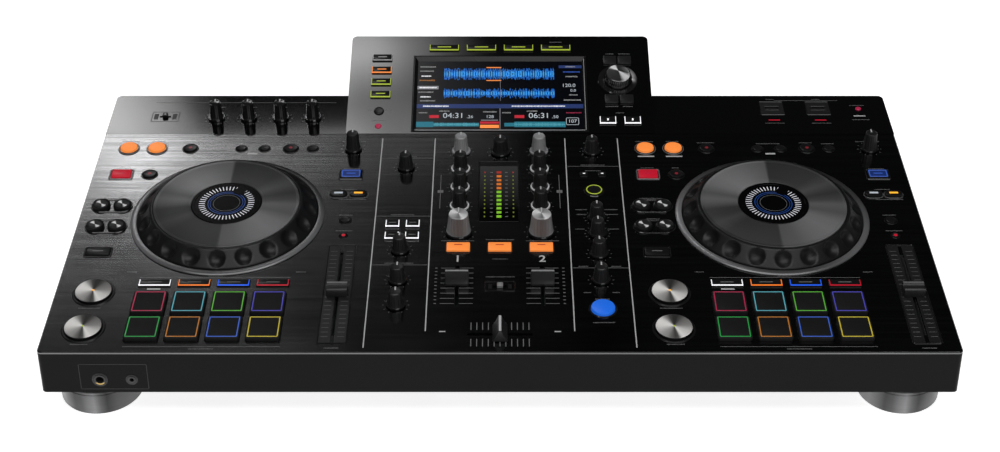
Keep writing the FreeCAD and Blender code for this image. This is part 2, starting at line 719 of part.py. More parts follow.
def slider_cap(node, cap, way):
    """Slider cap with its stalk, modelled over its own slot."""
    base, height, width = f"{cap}_base", f"{cap}_height", f"{cap}_width"
    if cap == "fader":
        crown = [(f"{base} / 2", "seat_gap + 2"), ("fader_ridge / 2", height),
                 ("-fader_ridge / 2", height), (f"-{base} / 2", "seat_gap + 2")]
    elif cap == "tempo_cap":
        crown = [(f"{base} / 2", f"{height} - 1"), (f"{base} / 3", height),
                 (f"{base} / 8", f"{height} - 2.4"), (f"-{base} / 8", f"{height} - 2.4"),
                 (f"-{base} / 3", height), (f"-{base} / 2", f"{height} - 1")]
    else:
        crown = [(f"{base} / 2", height), (f"-{base} / 2", height)]
    body = doc.addObject("PartDesign::Body", node)
    profile = outline(body, f"{node}_profile", "YZ_Plane",
                      [(f"-{base} / 2", "seat_gap"), (f"{base} / 2", "seat_gap")] + crown)
    pad(body, profile, width, both_ways=True)
    stalk = "switch_stalk_length" if cap == "switch_cap" else "stalk_length"
    foot = rectangle(body, f"{node}_stalk", ("-stalk_width / 2", f"-{stalk} / 2"),
                     ("stalk_width / 2", f"{stalk} / 2"), "-(board_drop - flange_thickness)")
    pad(body, foot, "board_drop - flange_thickness + seat_gap + 1")
    if way == "across":
        turned = doc.addObject("Part::Compound", f"{node}_turned")
        turned.Links = [body]
        body.Placement.Rotation = Rotation(Vector(0, 0, 1), 90)
        return turned
    return body


def control_places():
    """Every button of the panel as group, name, shape and place."""
    rows = []
    for side in SIDES:
        for name, shape, _across, _along in DECK_BUTTONS:
            across, along = area_place(f"{side}_deck", name)
            rows.append((f"{side}_deck_buttons", f"{side}_{name}", shape, across, along))
        sign = "-" if side == "left" else "+"
        for column in range(PAD_COLUMNS):
            across = f"(mode_first_x + {column} * mode_pitch {sign} {DECK_OFFSET})"
            rows.append((f"{side}_deck_buttons", f"{side}_mode_{column + 1}", "mode", across, "mode_s"))
            for row in range(PAD_ROWS):
                across = f"(pad_first_x + {column} * pad_pitch_x {sign} {DECK_OFFSET})"
                along = f"(pad_first_s + {row} * pad_pitch_s)"
                rows.append((f"{side}_pads", f"{side}_pad_{row + 1}_{column + 1}", "pad", across, along))
    for name, shape, _across, _along in MIXER_BUTTONS:
        rows.append(("mixer_buttons", name, shape, f"{name}_x", f"{name}_s"))
    return rows


def make_button_groups():
    places = control_places()
    for node in sorted({row[0] for row in places}):
        caps = [button(name, shape, across, along)
                for group_name, name, shape, across, along in places if group_name == node]
        keep(group(node, caps), node, "panel")
    caps = [button(name, shape, f"{name}_x", f"{name}_s", "face_thickness")
            for name, shape, _across, _along in DISPLAY_BUTTONS]
    keep(group("display_buttons", caps), "display_buttons", "display")


def make_knobs():
    for node, shape, area, _across, _along in KNOBS:
        across, along = area_place(area, node)
        surface = "display" if area == "display" else "panel"
        keep(knob(node, shape), node, surface, across, along)


def make_sliders():
    for node, cap, area, _across, _along, _down, _up, way in SLIDERS:
        across, along = area_place(area, node)
        keep(slider_cap(node, cap, way), node, "panel", across, along)


def make_top_panel():
    """Control panel with an opening for every control in front of the seam."""
    body = doc.addObject("PartDesign::Body", "panel_plate")
    sheet_outline = rectangle(body, "panel_outline", ("-body_width / 2", "0"), ("body_width / 2", "deck_depth"))
    plate = pad(body, sheet_outline, "panel_thickness", downwards=True)
    corners = round_edges(body, plate, "panel_corners", "front_corner",
                          lambda middle, way: abs(way.z) > 1 and middle.y < 1)
    round_edges(body, corners, "panel_bevel", "edge_bevel",
                lambda middle, way: middle.y < 1 and abs(middle.z) < 0.1 and abs(way.x) > 50,
                "PartDesign::Chamfer")
    tools = [button_opening(name, shape, across, along)
             for _group, name, shape, across, along in control_places()]
    for node, _shape, area, _across, _along in KNOBS:
        if area in ("mixer", "left_deck", "right_deck"):
            tools.append(shaft_opening(node, *area_place(area, node)))
    for node, cap, area, _across, _along, _down, _up, way in SLIDERS:
        if area != "left_rear":
            across, along = area_place(area, node)
            tools.append(slider_slot(f"{node}_slot", across, along, cap, f"{node}_down", f"{node}_up", way,
                                     f"-panel_thickness - {OVERCUT}", f"panel_thickness + {2 * OVERCUT}"))
    for side, sign in SIDES.items():
        tools.append(rod(f"{side}_jog_opening", (f"{sign} * {DECK_OFFSET}", "jog_s"),
                         "ring_radius - ring_width + running_gap", f"-panel_thickness - {OVERCUT}",
                         f"panel_thickness + {2 * OVERCUT}"))
    tools.append(middle_block("meter_opening", ("meter_x", "meter_s"),
                              ("meter_width + 2 * running_gap", "meter_length + 2 * running_gap",
                               f"panel_thickness + {2 * OVERCUT}"), f"-panel_thickness - {OVERCUT}"))
    keep(cut("top_panel", body, tools), "top_panel", "panel")


def usb_place(index):
    """Place of a usb socket of the right rear strip, counted from the side."""
    return f"(body_width / 2 - usb_side - {index} * usb_pitch)", f"({PANEL_DEPTH} - usb_back)"


def make_rear_strip():
    """Glossy strip behind the seam, on both sides of the display."""
    body = doc.addObject("PartDesign::Body", "strip_plate")
    strip_outline = rectangle(body, "strip_outline", ("-body_width / 2", "deck_depth + seam_width"),
                              ("body_width / 2", PANEL_DEPTH))
    plate = pad(body, strip_outline, "panel_thickness", downwards=True)
    rear = amount_of(PANEL_DEPTH)
    round_edges(body, plate, "strip_corners", "rear_corner",
                lambda middle, way: abs(way.z) > 1 and middle.y > rear - 1)
    through = f"panel_thickness + {2 * OVERCUT}"
    under = f"-panel_thickness - {OVERCUT}"
    tools = [middle_block("display_opening", ("0", f"{DISPLAY_S} + strip_depth / 2"),
                          ("2 * (display_half_width + running_gap)", f"strip_depth + {2 * OVERCUT}", through),
                          under)]
    for node, _shape, area, _across, _along in KNOBS:
        if area == "left_rear":
            tools.append(shaft_opening(node, *area_place(area, node)))
    for node, cap, area, _across, _along, _down, _up, way in SLIDERS:
        if area == "left_rear":
            across, along = area_place(area, node)
            tools.append(slider_slot(f"{node}_slot", across, along, cap, f"{node}_down", f"{node}_up", way,
                                     under, through))
    for index in range(2):
        hole = "usb_block + 2 * running_gap"
        tools.append(middle_block(f"usb_opening_{index + 1}", usb_place(index), (hole, hole, through), under))
    keep(cut("rear_strip", body, tools), "rear_strip", "panel")


def panel_under(depth):
    """Height of the panel's underside over the floor, at a depth behind its front edge."""
    return f"(front_height - panel_thickness / cos(panel_tilt) + ({depth}) * tan(panel_tilt))"


def case_posts():
    """Places of the posts that carry the panel, behind its front edge along the panel."""
    outer = "(body_width / 2 - post_inset)"
    rear = "(deck_depth - rear_post_back)"
    spots = []
    for sign in SIDES.values():
        spots += [(f"{sign} * {outer}", along) for along in ("front_post_s", "middle_post_s", rear)]
        spots += [(f"{sign} * inner_post_x", along) for along in ("front_post_s", rear)]
    return spots


def rear_jack_places():
    """Places of the large jacks in the rear wall, across and up."""
    height = f"({CASE_BASE} + socket_height)"
    spots = [(f"(-body_width / 2 + mic_jack_side + {index} * mic_jack_pitch)", height) for index in range(2)]
    return spots + [(f"(output_jack_x + {index} * output_jack_pitch)", height) for index in range(4)]


def phono_places():
    low = f"({CASE_BASE} + socket_height - phono_rise / 2)"
    return [(f"(phono_x + {column} * phono_pitch)", f"({low} + {row} * phono_rise)")
            for column in range(4) for row in range(2)]


INLET_CENTRE = ("(body_width / 2 - inlet_side)", f"({CASE_BASE} + socket_height)")
ROCKER_CENTRE = ("(body_width / 2 - rocker_side)", f"({CASE_BASE} + socket_height)")
JACK_CENTRE = ("(-body_width / 2 + jack_side)", "(front_height - jack_drop)")
MINI_CENTRE = ("(-body_width / 2 + mini_side)", "(front_height - jack_drop)")
INLET_OUTER = ("(inlet_width + 2 * inlet_wall)", "(inlet_height + 2 * inlet_wall)")
ROCKER_OUTER = ("(rocker_width + 2 * running_gap + 2 * rocker_wall)",
                "(2 * rocker_half_height + 2 * rocker_room + 2 * rocker_wall)")


def wall_block(name, centre, size, start, length):
    """Box that passes a wall front to back, centred across and up."""
    low = (f"{centre[0]} - {size[0]} / 2", start, f"{centre[1]} - {size[1]} / 2")
    return block(name, low, (size[0], length, size[1]))


def make_bottom_case():
    """Tray with leaning front, cross rib, posts, socket openings and cooling slots."""
    body = doc.addObject("PartDesign::Body", "case_shell")
    top_front = "panel_thickness * sin(panel_tilt)"
    rib_rear = f"({DISPLAY_S} + rib_width / 2) * cos(panel_tilt)"
    rib_front = f"({DISPLAY_S} - rib_width / 2) * cos(panel_tilt)"
    over = f"front_height + {PANEL_DEPTH} * tan(panel_tilt)"
    side = outline(body, "case_side", "YZ_Plane", [
        ("-face_lean", CASE_BASE),
        (REAR_OUT, CASE_BASE),
        (REAR_OUT, panel_under(REAR_OUT)),
        (top_front, panel_under(top_front)),
    ])
    shell = pad(body, side, "body_width", both_ways=True)
    front_bay = outline(body, "front_bay", "YZ_Plane", [
        ("case_wall - face_lean", CASE_FLOOR),
        (rib_front, CASE_FLOOR),
        (rib_front, over),
        (f"{top_front} + case_wall", over),
        (f"{top_front} + case_wall", panel_under(top_front)),
    ])
    pocket(body, front_bay, "body_width - 2 * case_wall", both_ways=True)
    rear_bay = outline(body, "rear_bay", "YZ_Plane", [
        (rib_rear, CASE_FLOOR),
        (f"{REAR_OUT} - case_wall", CASE_FLOOR),
        (f"{REAR_OUT} - case_wall", over),
        (rib_rear, over),
    ])
    hollow = pocket(body, rear_bay, "body_width - 2 * case_wall", both_ways=True)
    half = amount_of("body_width / 2")
    rear = amount_of(REAR_OUT)
    doc.recompute()
    front_round = round_edges(body, hollow, "case_front_corners", "front_corner",
                              lambda middle, way: abs(way.z) > 20 and abs(middle.x) > half - 0.1
                              and middle.y < 1)
    round_edges(body, front_round, "case_rear_corners", "rear_corner",
                lambda middle, way: abs(way.z) > 20 and abs(middle.x) > half - 0.1 and middle.y > rear - 1)
    posts = []
    screw_holes = []
    for number, (across, along) in enumerate(case_posts(), 1):
        depth = f"({along}) * cos(panel_tilt)"
        post = rod(f"post_{number}", (across, depth), "post_radius", f"{CASE_BASE} + case_wall / 2",
                   f"{panel_under(depth)} - {CASE_BASE} - case_wall / 2 - post_radius * tan(panel_tilt)")
        posts.append(post)
        screw_holes.append(rod(f"screw_hole_{number}", (across, depth), "screw_radius + running_gap",
                               f"{CASE_BASE} - {OVERCUT}", f"screw_length + 1 + {OVERCUT}"))
    solid_case = join("case_with_posts", [body] + posts)
    wall_cut = f"case_wall + {2 * OVERCUT}"
    rear_start = f"{REAR_OUT} - case_wall - {OVERCUT}"
    front_start = f"-face_lean - {OVERCUT}"
    tools = screw_holes
    tools.append(level_rod("jack_hole", JACK_CENTRE, "jack_ring + running_gap", front_start,
                           f"face_lean + {wall_cut}"))
    tools.append(level_rod("mini_hole", MINI_CENTRE, "mini_ring + running_gap", front_start,
                           f"face_lean + {wall_cut}"))
    for number, centre in enumerate(rear_jack_places(), 1):
        tools.append(level_rod(f"rear_jack_hole_{number}", centre, "jack_ring + running_gap",
                               rear_start, wall_cut))
    for number, centre in enumerate(phono_places(), 1):
        tools.append(level_rod(f"phono_hole_{number}", centre, "phono_collar + running_gap",
                               rear_start, wall_cut))
    inlet_hole = tuple(f"({side_size} + 2 * running_gap)" for side_size in INLET_OUTER)
    rocker_hole = tuple(f"({side_size} + 2 * running_gap)" for side_size in ROCKER_OUTER)
    tools.append(wall_block("inlet_hole", INLET_CENTRE, inlet_hole, rear_start, wall_cut))
    tools.append(wall_block("rocker_hole", ROCKER_CENTRE, rocker_hole, rear_start, wall_cut))
    for sign in SIDES.values():
        for index in range(-4, 5):
            tools.append(middle_block("vent", (f"{sign} * vent_x + {index} * vent_pitch", "vent_y"),
                                      ("vent_width", "vent_length", wall_cut), f"{CASE_BASE} - {OVERCUT}"))
    keep(cut("bottom_case", solid_case, tools), "bottom_case", "case")


def make_case_screws():
    screws = []
    for number, (across, along) in enumerate(case_posts(), 1):
        depth = f"({along}) * cos(panel_tilt)"
        head = rod(f"screw_head_{number}", (across, depth), "screw_head_radius",
                   f"{CASE_BASE} - screw_head_height", "screw_head_height")
        shank = rod(f"screw_shank_{number}", (across, depth), "screw_radius", CASE_BASE, "screw_length")
        screws.append(join(f"screw_{number}", [head, shank]))
    keep(group("case_screws", screws), "case_screws", "case")


def make_feet():
    feet = []
    for side, sign in SIDES.items():
        for end, along in (("front", "foot_inset_y"), ("rear", f"{REAR_OUT} - foot_inset_y")):
            foot = turned_body(f"{side}_{end}_foot", [
                ("0", "0"),
                ("foot_radius - foot_bevel", "0"),
                ("foot_radius", "foot_bevel"),
                ("foot_radius", "foot_height"),
                ("foot_neck_radius", "foot_height"),
                ("foot_neck_radius", CASE_BASE),
                ("0", CASE_BASE),
            ])
            bind(foot, {
                "Placement.Base.x": f"{sign} * (body_width / 2 - foot_inset_x)",
                "Placement.Base.y": along,
            })
            feet.append(foot)
    keep(group("feet", feet), "feet", "case")


def make_jogs():
    """Trim rings, fixed centre displays, jog wheels and their top plates."""
    rings = []
    stems = []
    plate_foot = "wheel_height - (plate_thickness - 0.5)"
    for side, sign in SIDES.items():
        across = f"{sign} * {DECK_OFFSET}"
        skirt = "ring_radius - ring_width"
        ring = turned_body(f"{side}_ring", [
            ("ring_inner_radius", "-ring_depth"),
            (skirt, "-ring_depth"),
            (skirt, "0"),
            ("ring_radius", "0"),
            ("ring_radius", "ring_rise / 3"),
            ("ring_radius - ring_rise / 2", "ring_rise"),
            ("ring_inner_radius + ring_rise / 4", "ring_rise"),
            ("ring_inner_radius", "ring_rise / 2"),
        ])
        bind(ring, {"Placement.Base.x": across, "Placement.Base.y": "jog_s"})
        rings.append(ring)
        stem = turned_body(f"{side}_stem", [
            ("0", "-board_drop"),
            ("hub_radius", "-board_drop"),
            ("hub_radius", "-wheel_depth - running_gap"),
            ("stem_radius", "-wheel_depth - running_gap"),
            ("stem_radius", "wheel_height"),
            ("0", "wheel_height"),
        ])
        bind(stem, {"Placement.Base.x": across, "Placement.Base.y": "jog_s"})
        stems.append(stem)
        bore = "stem_radius + running_gap"
        edge = "ring_inner_radius - 2 * running_gap"
        rim_inner = "plate_radius + running_gap"
        rim_outer = f"{rim_inner} + rim_lip"
        web_foot = f"{plate_foot} - web_thickness"
        wheel = turned_body(f"{side}_jog_wheel", [
            (bore, "-wheel_depth"),
            ("hub_radius", "-wheel_depth"),
            ("hub_radius", web_foot),
            (f"{rim_inner} - rim_lip", web_foot),
            (f"{edge} - 2 * rim_lip", "-flank_depth"),
            (f"{edge} - 2 * rim_lip", "-wheel_depth"),
            (edge, "-wheel_depth"),
            (edge, "wheel_shoulder"),
            (rim_outer, "wheel_height"),
            (rim_inner, "wheel_height"),
            (rim_inner, plate_foot),
            (bore, plate_foot),
        ])
        add_dimples(wheel, edge, rim_outer)
        keep(wheel, f"{side}_jog_wheel", "panel", across, "jog_s")
        plate = turned_body(f"{side}_jog_plate", [
            (bore, plate_foot),
            ("plate_radius", plate_foot),
            ("plate_radius", f"{plate_foot} + plate_thickness"),
            (bore, f"{plate_foot} + plate_thickness"),
        ])
        keep(plate, f"{side}_jog_plate", "panel", across, "jog_s")
    keep(group("jog_rings", rings), "jog_rings", "panel")
    keep(group("jog_displays", stems), "jog_displays", "panel")


def add_dimples(wheel, edge, rim_outer):
    """Ring of finger dimples in the flank of a jog wheel."""
    doc.recompute()
    run = f"({edge} - ({rim_outer}))"
    rise = "(wheel_height - wheel_shoulder)"
    slant = f"sqrt({run} ^ 2 + {rise} ^ 2)"
    stand_off = "(dimple_radius - dimple_bite)"
    ball = wheel.newObject("PartDesign::SubtractiveSphere", f"{wheel.Name}_dimple")
    bind(ball, {
        "Radius": "dimple_radius",
        "Placement.Base.x": f"({edge} + {rim_outer}) / 2 + {stand_off} * {rise} / {slant}",
        "Placement.Base.z": f"(wheel_height + wheel_shoulder) / 2 + {stand_off} * {run} / {slant}",
    })
    doc.recompute()
    ring = wheel.newObject("PartDesign::PolarPattern", f"{wheel.Name}_dimples")
    ring.Originals = [ball]
    ring.Axis = (wheel.Group[0], ["V_Axis"])
    ring.Angle = 360
    bind(ring, {"Occurrences": "dimple_count"})
    wheel.Tip = ring


def board(name, low, high, top):
    width = f"({high[0]} - ({low[0]}))"
    depth = f"({high[1]} - ({low[1]}))"
    return block(name, (low[0], low[1], f"{top} - board_thickness"), (width, depth, "board_thickness"))


def spacer(name, centre, top):
    """Spacer from the top of a board to the underside of the panel."""
    return rod(name, centre, "spacer_radius", top, f"-panel_thickness - ({top})")


def cornered_board(name, low, high, top):
    """Circuit board with a spacer near each corner."""
    spots = [(across, along)
             for across in (f"{low[0]} + spacer_inset", f"{high[0]} - spacer_inset")
             for along in (f"{low[1]} + spacer_inset", f"{high[1]} - spacer_inset")]
    spacers = [spacer(f"{name}_spacer_{number}", centre, top) for number, centre in enumerate(spots, 1)]
    return [board(name, low, high, top)] + spacers


def make_circuit_boards():
    """Deck, mixer, microphone and usb boards, hung under the panel on spacers."""
    inner = "(inner_post_x - post_radius - board_margin)"
    outer = "(inner_post_x + post_radius + board_margin)"
    edge = "(body_width / 2 - post_inset - post_radius - board_margin)"
    rear = f"({DISPLAY_S} - rib_width / 2 - board_margin)"
    bay = f"({DISPLAY_S} + rib_width / 2 + board_margin)"
    bay_rear = f"({PANEL_DEPTH} - case_wall - board_margin)"
    top = "-board_drop"
    pieces = [
        board("left_board", (f"-{edge}", "board_margin"), (f"-{outer}", rear), top),
        board("mixer_board", (f"-{inner}", "board_margin"), (inner, rear), top),
        board("right_board", (outer, "board_margin"), (edge, rear), top),
    ]
    for name, area, _across, _along in SPACERS:
        for side in SIDES if area == "deck" else [""]:
            spot = area_place(f"{side}_deck" if side else area, name)
            pieces.append(spacer(f"{side}_{name}".strip("_"), spot, top))
    pieces += cornered_board("mic_board", ("-body_width / 2 + 4 * board_margin", bay),
                             ("-display_half_width - 3 * board_margin", bay_rear), top)
    pieces += cornered_board("usb_board", ("body_width / 2 - usb_side - usb_pitch - usb_block", bay),
                             ("body_width / 2 - usb_side + usb_block", bay_rear), "-usb_depth")
    keep(group("circuit_boards", pieces), "circuit_boards", "panel")


def make_control_modules():
    """Potentiometers and slider tracks on the boards under the panel."""
    pieces = []
    for node, _shape, area, _across, _along in KNOBS:
        if area != "display":
            pieces.append(potentiometer(f"{node}_pot", *area_place(area, node)))
    for node, cap, area, _across, _along, _down, _up, way in SLIDERS:
        across, along = area_place(area, node)
        pieces.append(slider_track(f"{node}_track", across, along, cap, f"{node}_down", f"{node}_up", way))
    encoder = potentiometer("browse_encoder", "browse_knob_x", "browse_knob_s", "-face_thickness - pot_height")
    encoder.Placement.Rotation = Rotation(Vector(1, 0, 0), amount_of("display_slope"))
    bind(encoder, {"Placement.Base.y": DISPLAY_S, "Placement.Rotation.Angle": "display_slope"})
    keep(group("control_modules", pieces + [encoder]), "control_modules", "panel")


def make_level_meter():
    """Meter window with the flange that carries it under the panel."""
    window = middle_block("meter_window", ("meter_x", "meter_s"),
                          ("meter_width", "meter_length", "meter_depth"), "-meter_depth")
    flange = middle_block("meter_flange", ("meter_x", "meter_s"),
                          ("meter_width + 4 * flange_margin", "meter_length + 4 * flange_margin",
                           "flange_thickness"), "-panel_thickness - flange_thickness")
    keep(join("level_meter", [window, flange]), "level_meter", "panel")


def face_point(up, out):
    """Point of the display's side view, from its foot along the face and out of it."""
    return (f"({DISPLAY_S} + ({up}) * cos(display_slope) - ({out}) * sin(display_slope))",
            f"(({up}) * sin(display_slope) + ({out}) * cos(display_slope))")


SCREEN_MIDDLE = "(screen_foot + screen_length / 2)"
REAR_REACH = "((overall_depth - face_lean - housing_drop * sin(panel_tilt)) / cos(panel_tilt))"


def sloped_box(name, half_width, low, high, depth):
    """Box square to the display face, from just over the face down to a depth."""
    piece = doc.addObject("Part::Box", name)
    corner = face_point(low, f"-({depth})")
    piece.Placement.Rotation = Rotation(Vector(1, 0, 0), amount_of("display_slope"))
    bind(piece, {
        "Length": f"2 * ({half_width})", "Width": f"{high} - ({low})", "Height": f"{depth} + {OVERCUT}",
        "Placement.Base.x": f"-({half_width})", "Placement.Base.y": corner[0], "Placement.Base.z": corner[1],
        "Placement.Rotation.Angle": "display_slope",
    })
    return piece


def make_display_housing():
    """Wedge shell of the display, open under its face and over the case."""
    body = doc.addObject("PartDesign::Body", "housing_shell")
    step = f"({PANEL_DEPTH} + running_gap)"
    back_top = "(housing_back - housing_drop)"
    side = outline(body, "housing_side", "YZ_Plane", [
        (face_point("0", "-face_thickness")[0], "-panel_thickness"),
        (step, "-panel_thickness"),
        (step, "-housing_drop"),
        (REAR_REACH, "-housing_drop"),
        (REAR_REACH, back_top),
        face_point("display_length", "-face_thickness"),
    ])
    shell = pad(body, side, "2 * display_half_width", both_ways=True)
    half = amount_of("display_half_width")
    top = amount_of(face_point("display_length", "-face_thickness")[0])
    back = amount_of(REAR_REACH)
    inner_step = f"({step} + housing_wall)"
    sill = f"({PANEL_DEPTH} - case_wall - 2 * running_gap)"
    front_edge = f"({DISPLAY_S} + rib_width / 2 + housing_wall / 2)"
    corners = round_edges(body, shell, "housing_corners", "display_corner",
                          lambda middle, way: abs(abs(middle.x) - half) < 0.1 and top < middle.y < back
                          and abs(way.z) > 10 and abs(way.y) > 10)
    hollow = outline(body, "housing_hollow", "YZ_Plane", [
        (front_edge, "-board_drop"),
        (sill, "-board_drop"),
        (sill, "housing_wall - panel_thickness"),
        (inner_step, "housing_wall - panel_thickness"),
        (inner_step, "housing_wall - housing_drop"),
        (f"{REAR_REACH} - housing_wall", "housing_wall - housing_drop"),
        (f"{REAR_REACH} - 1.4 * housing_wall", back_top),
        face_point("display_length - 1", "-face_thickness - housing_wall"),
        face_point("face_rim", "-face_thickness - housing_wall"),
    ])
    pocket(body, hollow, "2 * (display_half_width - housing_wall)", both_ways=True)
    window = sloped_box("face_window", "display_half_width - face_rim", "face_rim", "display_length - face_rim",
                        f"face_thickness + {OVERCUT}")
    screen_room = sloped_box("screen_room", "screen_width / 2 + running_gap", "screen_foot - running_gap",
                             "screen_foot + screen_length + running_gap", "screen_depth + running_gap")
    keep(cut("display_housing", body, [window, screen_room]), "display_housing", "panel")


def make_display_face():
    """Glossy face plate with openings for the screen, the buttons and the browse shaft."""
    body = doc.addObject("PartDesign::Body", "face_plate")
    face_outline = rectangle(body, "face_outline", ("-display_half_width", "0"),
                             ("display_half_width", "display_length"))
    plate = pad(body, face_outline, "face_thickness", downwards=True)
    top = amount_of("display_length")
    round_edges(body, plate, "face_corners", "display_corner",
                lambda middle, way: abs(way.z) > 1 and middle.y > top - 1)
    tools = [button_opening(name, shape, f"{name}_x", f"{name}_s", "face_thickness")
             for name, shape, _across, _along in DISPLAY_BUTTONS]
    tools.append(shaft_opening("browse", "browse_knob_x", "browse_knob_s", "face_thickness"))
    tools.append(middle_block("screen_opening", ("0", SCREEN_MIDDLE),
                              ("screen_width + 2 * running_gap", "screen_length + 2 * running_gap",
                               f"face_thickness + {2 * OVERCUT}"), f"-face_thickness - {OVERCUT}"))
    keep(cut("display_face", body, tools), "display_face", "display")


def make_screen():
    """Screen module with its bevelled frame and sunken glass."""
    module = middle_block("screen_module", ("0", SCREEN_MIDDLE),
                          ("screen_width", "screen_length", "screen_depth"), "-screen_depth")
    bevel = doc.addObject("Part::Wedge", "screen_bevel")
    bind(bevel, {
        "Xmin": "-glass_width / 2", "Xmax": "glass_width / 2",
        "Zmin": "-glass_length / 2", "Zmax": "glass_length / 2",
        "X2min": "-screen_width / 2 + running_gap", "X2max": "screen_width / 2 - running_gap",
        "Z2min": "-screen_length / 2 + running_gap", "Z2max": "screen_length / 2 - running_gap",
        "Ymin": "0", "Ymax": "screen_bevel_depth",
        "Placement.Base.y": SCREEN_MIDDLE, "Placement.Base.z": "-screen_bevel_depth",
    })
    bevel.Placement.Rotation = Rotation(Vector(1, 0, 0), 90)
    keep(cut("lcd_screen", module, [bevel]), "lcd_screen", "display")


def jack(name, centre, mouth, inward, ring, bore, depth, side):
    """Jack socket with a ring through the wall, a body behind it and a blind bore.

    mouth is the place of the ring's outer face and inward is 1 or -1 along the depth.
    """
    wall_back = f"({mouth} + {inward} * (face_lean + case_wall + running_gap))"
    neck_length = "(face_lean + case_wall + running_gap)"
    neck_start = mouth if inward > 0 else wall_back
    body_length = f"({depth} - 1)"
    body_start = wall_back if inward > 0 else f"({wall_back} - {body_length})"
    bore_start = f"({mouth} - {OVERCUT})" if inward > 0 else f"({mouth} - {depth})"
    neck = level_rod(f"{name}_neck", centre, ring, neck_start, neck_length)
    body = wall_block(f"{name}_body", centre, (side, side), body_start, body_length)
    hole = level_rod(f"{name}_hole", centre, bore, bore_start, f"{depth} + {OVERCUT}")
    return cut(name, join(f"{name}_outer", [neck, body]), [hole])


def phono_socket(name, centre):
    """Phono socket with a collar through the case, a barrel behind it and a hollow centre contact."""
    wall_inner = f"({REAR_OUT} - case_wall - running_gap)"
    collar = level_rod(f"{name}_collar", centre, "phono_collar", wall_inner,
                       "case_wall + running_gap + phono_lip")
    barrel = level_rod(f"{name}_barrel", centre, "phono_radius", f"({REAR_OUT} + phono_lip - 1)",
                       "phono_reach - phono_lip + 1")
    base = level_rod(f"{name}_base", centre, "phono_flange", f"{wall_inner} - phono_body", "phono_body")
    bore = level_rod(f"{name}_bore", centre, "phono_bore", wall_inner,
                     f"case_wall + phono_reach + {OVERCUT}")
    return cut(name, join(f"{name}_outer", [collar, barrel, base]), [bore])


def power_inlet():
    """Three pole power inlet with its prongs standing in the recess."""
    start = f"({REAR_OUT} - inlet_depth - inlet_wall)"
    shell = wall_block("inlet_body", INLET_CENTRE, INLET_OUTER, start, "inlet_depth + inlet_wall + 1")
    recess = wall_block("inlet_recess", INLET_CENTRE, ("inlet_width", "inlet_height"),
                        f"({REAR_OUT} - inlet_depth)", f"inlet_depth + {OVERCUT}")
    hollow = cut("inlet_shell", shell, [recess])
    prongs = []
    for index in (-1, 0, 1):
        centre = (f"({INLET_CENTRE[0]} + {index} * prong_spread)", INLET_CENTRE[1])
        prongs.append(wall_block(f"prong_{index + 2}", centre, ("prong_width", "prong_height"),
                                 f"({REAR_OUT} - inlet_depth - 1)", "prong_length + 1"))
    return join("power_inlet", [hollow] + prongs)


def rocker_frame():
    """Frame of the power switch, open where the rocker swings."""
    inner = ("(rocker_width + 2 * running_gap)", "(2 * rocker_half_height + 2 * rocker_room)")
    start = f"({REAR_OUT} - rocker_depth - 3 * rocker_wall)"
    length = "rocker_depth + 3 * rocker_wall + 1"
    shell = wall_block("rocker_shell", ROCKER_CENTRE, ROCKER_OUTER, start, length)
    room = wall_block("rocker_opening", ROCKER_CENTRE, inner, f"({start} + rocker_wall)",
                      f"rocker_depth + 3 * rocker_wall + {OVERCUT}")
    return cut("rocker_frame", shell, [room])


def usb_socket(number):
    """Upright usb socket of the rear strip, held in panel coordinates."""
    centre = usb_place(number - 1)
    body = middle_block(f"usb_body_{number}", centre, ("usb_block", "usb_block", "usb_depth + seat_gap"),
                        "-usb_depth")
    mouth = middle_block(f"usb_mouth_{number}", centre,
                         ("usb_mouth_width", "usb_mouth_length", f"usb_mouth_depth + seat_gap + {OVERCUT}"),
                         "-usb_mouth_depth")
    socket = cut(f"usb_socket_{number}", body, [mouth])
    socket.Placement.Rotation = Rotation(Vector(1, 0, 0), amount_of("panel_tilt"))
    bind(socket, {"Placement.Base.z": "front_height", "Placement.Rotation.Angle": "panel_tilt"})
    return socket


def make_sockets():
    """Headphone jacks, rear jacks, phono sockets, power inlet, switch frame and usb sockets."""
    front = "(-face_lean * (jack_drop - panel_thickness) / (face_height - panel_thickness) - 0.6)"
    rear = f"({REAR_OUT} + 0.6)"
    large = ("jack_ring", "jack_bore", "jack_depth", "jack_block")
    pieces = [
        jack("headphone_jack", JACK_CENTRE, front, 1, *large),
        jack("mini_jack", MINI_CENTRE, front, 1, "mini_ring", "mini_bore", "mini_depth", "mini_block"),
    ]
    for number, centre in enumerate(rear_jack_places(), 1):
        pieces.append(jack(f"rear_jack_{number}", centre, rear, -1, *large))
    for number, centre in enumerate(phono_places(), 1):
        pieces.append(phono_socket(f"phono_{number}", centre))
    pieces += [power_inlet(), rocker_frame(), usb_socket(1), usb_socket(2)]
    keep(group("connector_sockets", pieces), "connector_sockets", "case")


def make_power_rocker():
    """Rocker of the power switch, modelled about its own pivot."""
    body = doc.addObject("PartDesign::Body", "power_rocker")
    profile = outline(body, "rocker_profile", "YZ_Plane", [
        ("-rocker_wall / 2", "-rocker_half_height / 2"),
        ("rocker_reach", "-rocker_half_height"),
        ("rocker_reach - rocker_wall / 2", "0"),
        ("rocker_reach", "rocker_half_height"),
        ("-rocker_wall / 2", "rocker_half_height / 2"),
    ])
    pad(body, profile, "rocker_width", both_ways=True)
    keep(body, "power_rocker", "case", ROCKER_CENTRE[0], f"{REAR_OUT} - rocker_depth")
    bind(body, {"Placement.Base.z": ROCKER_CENTRE[1]})


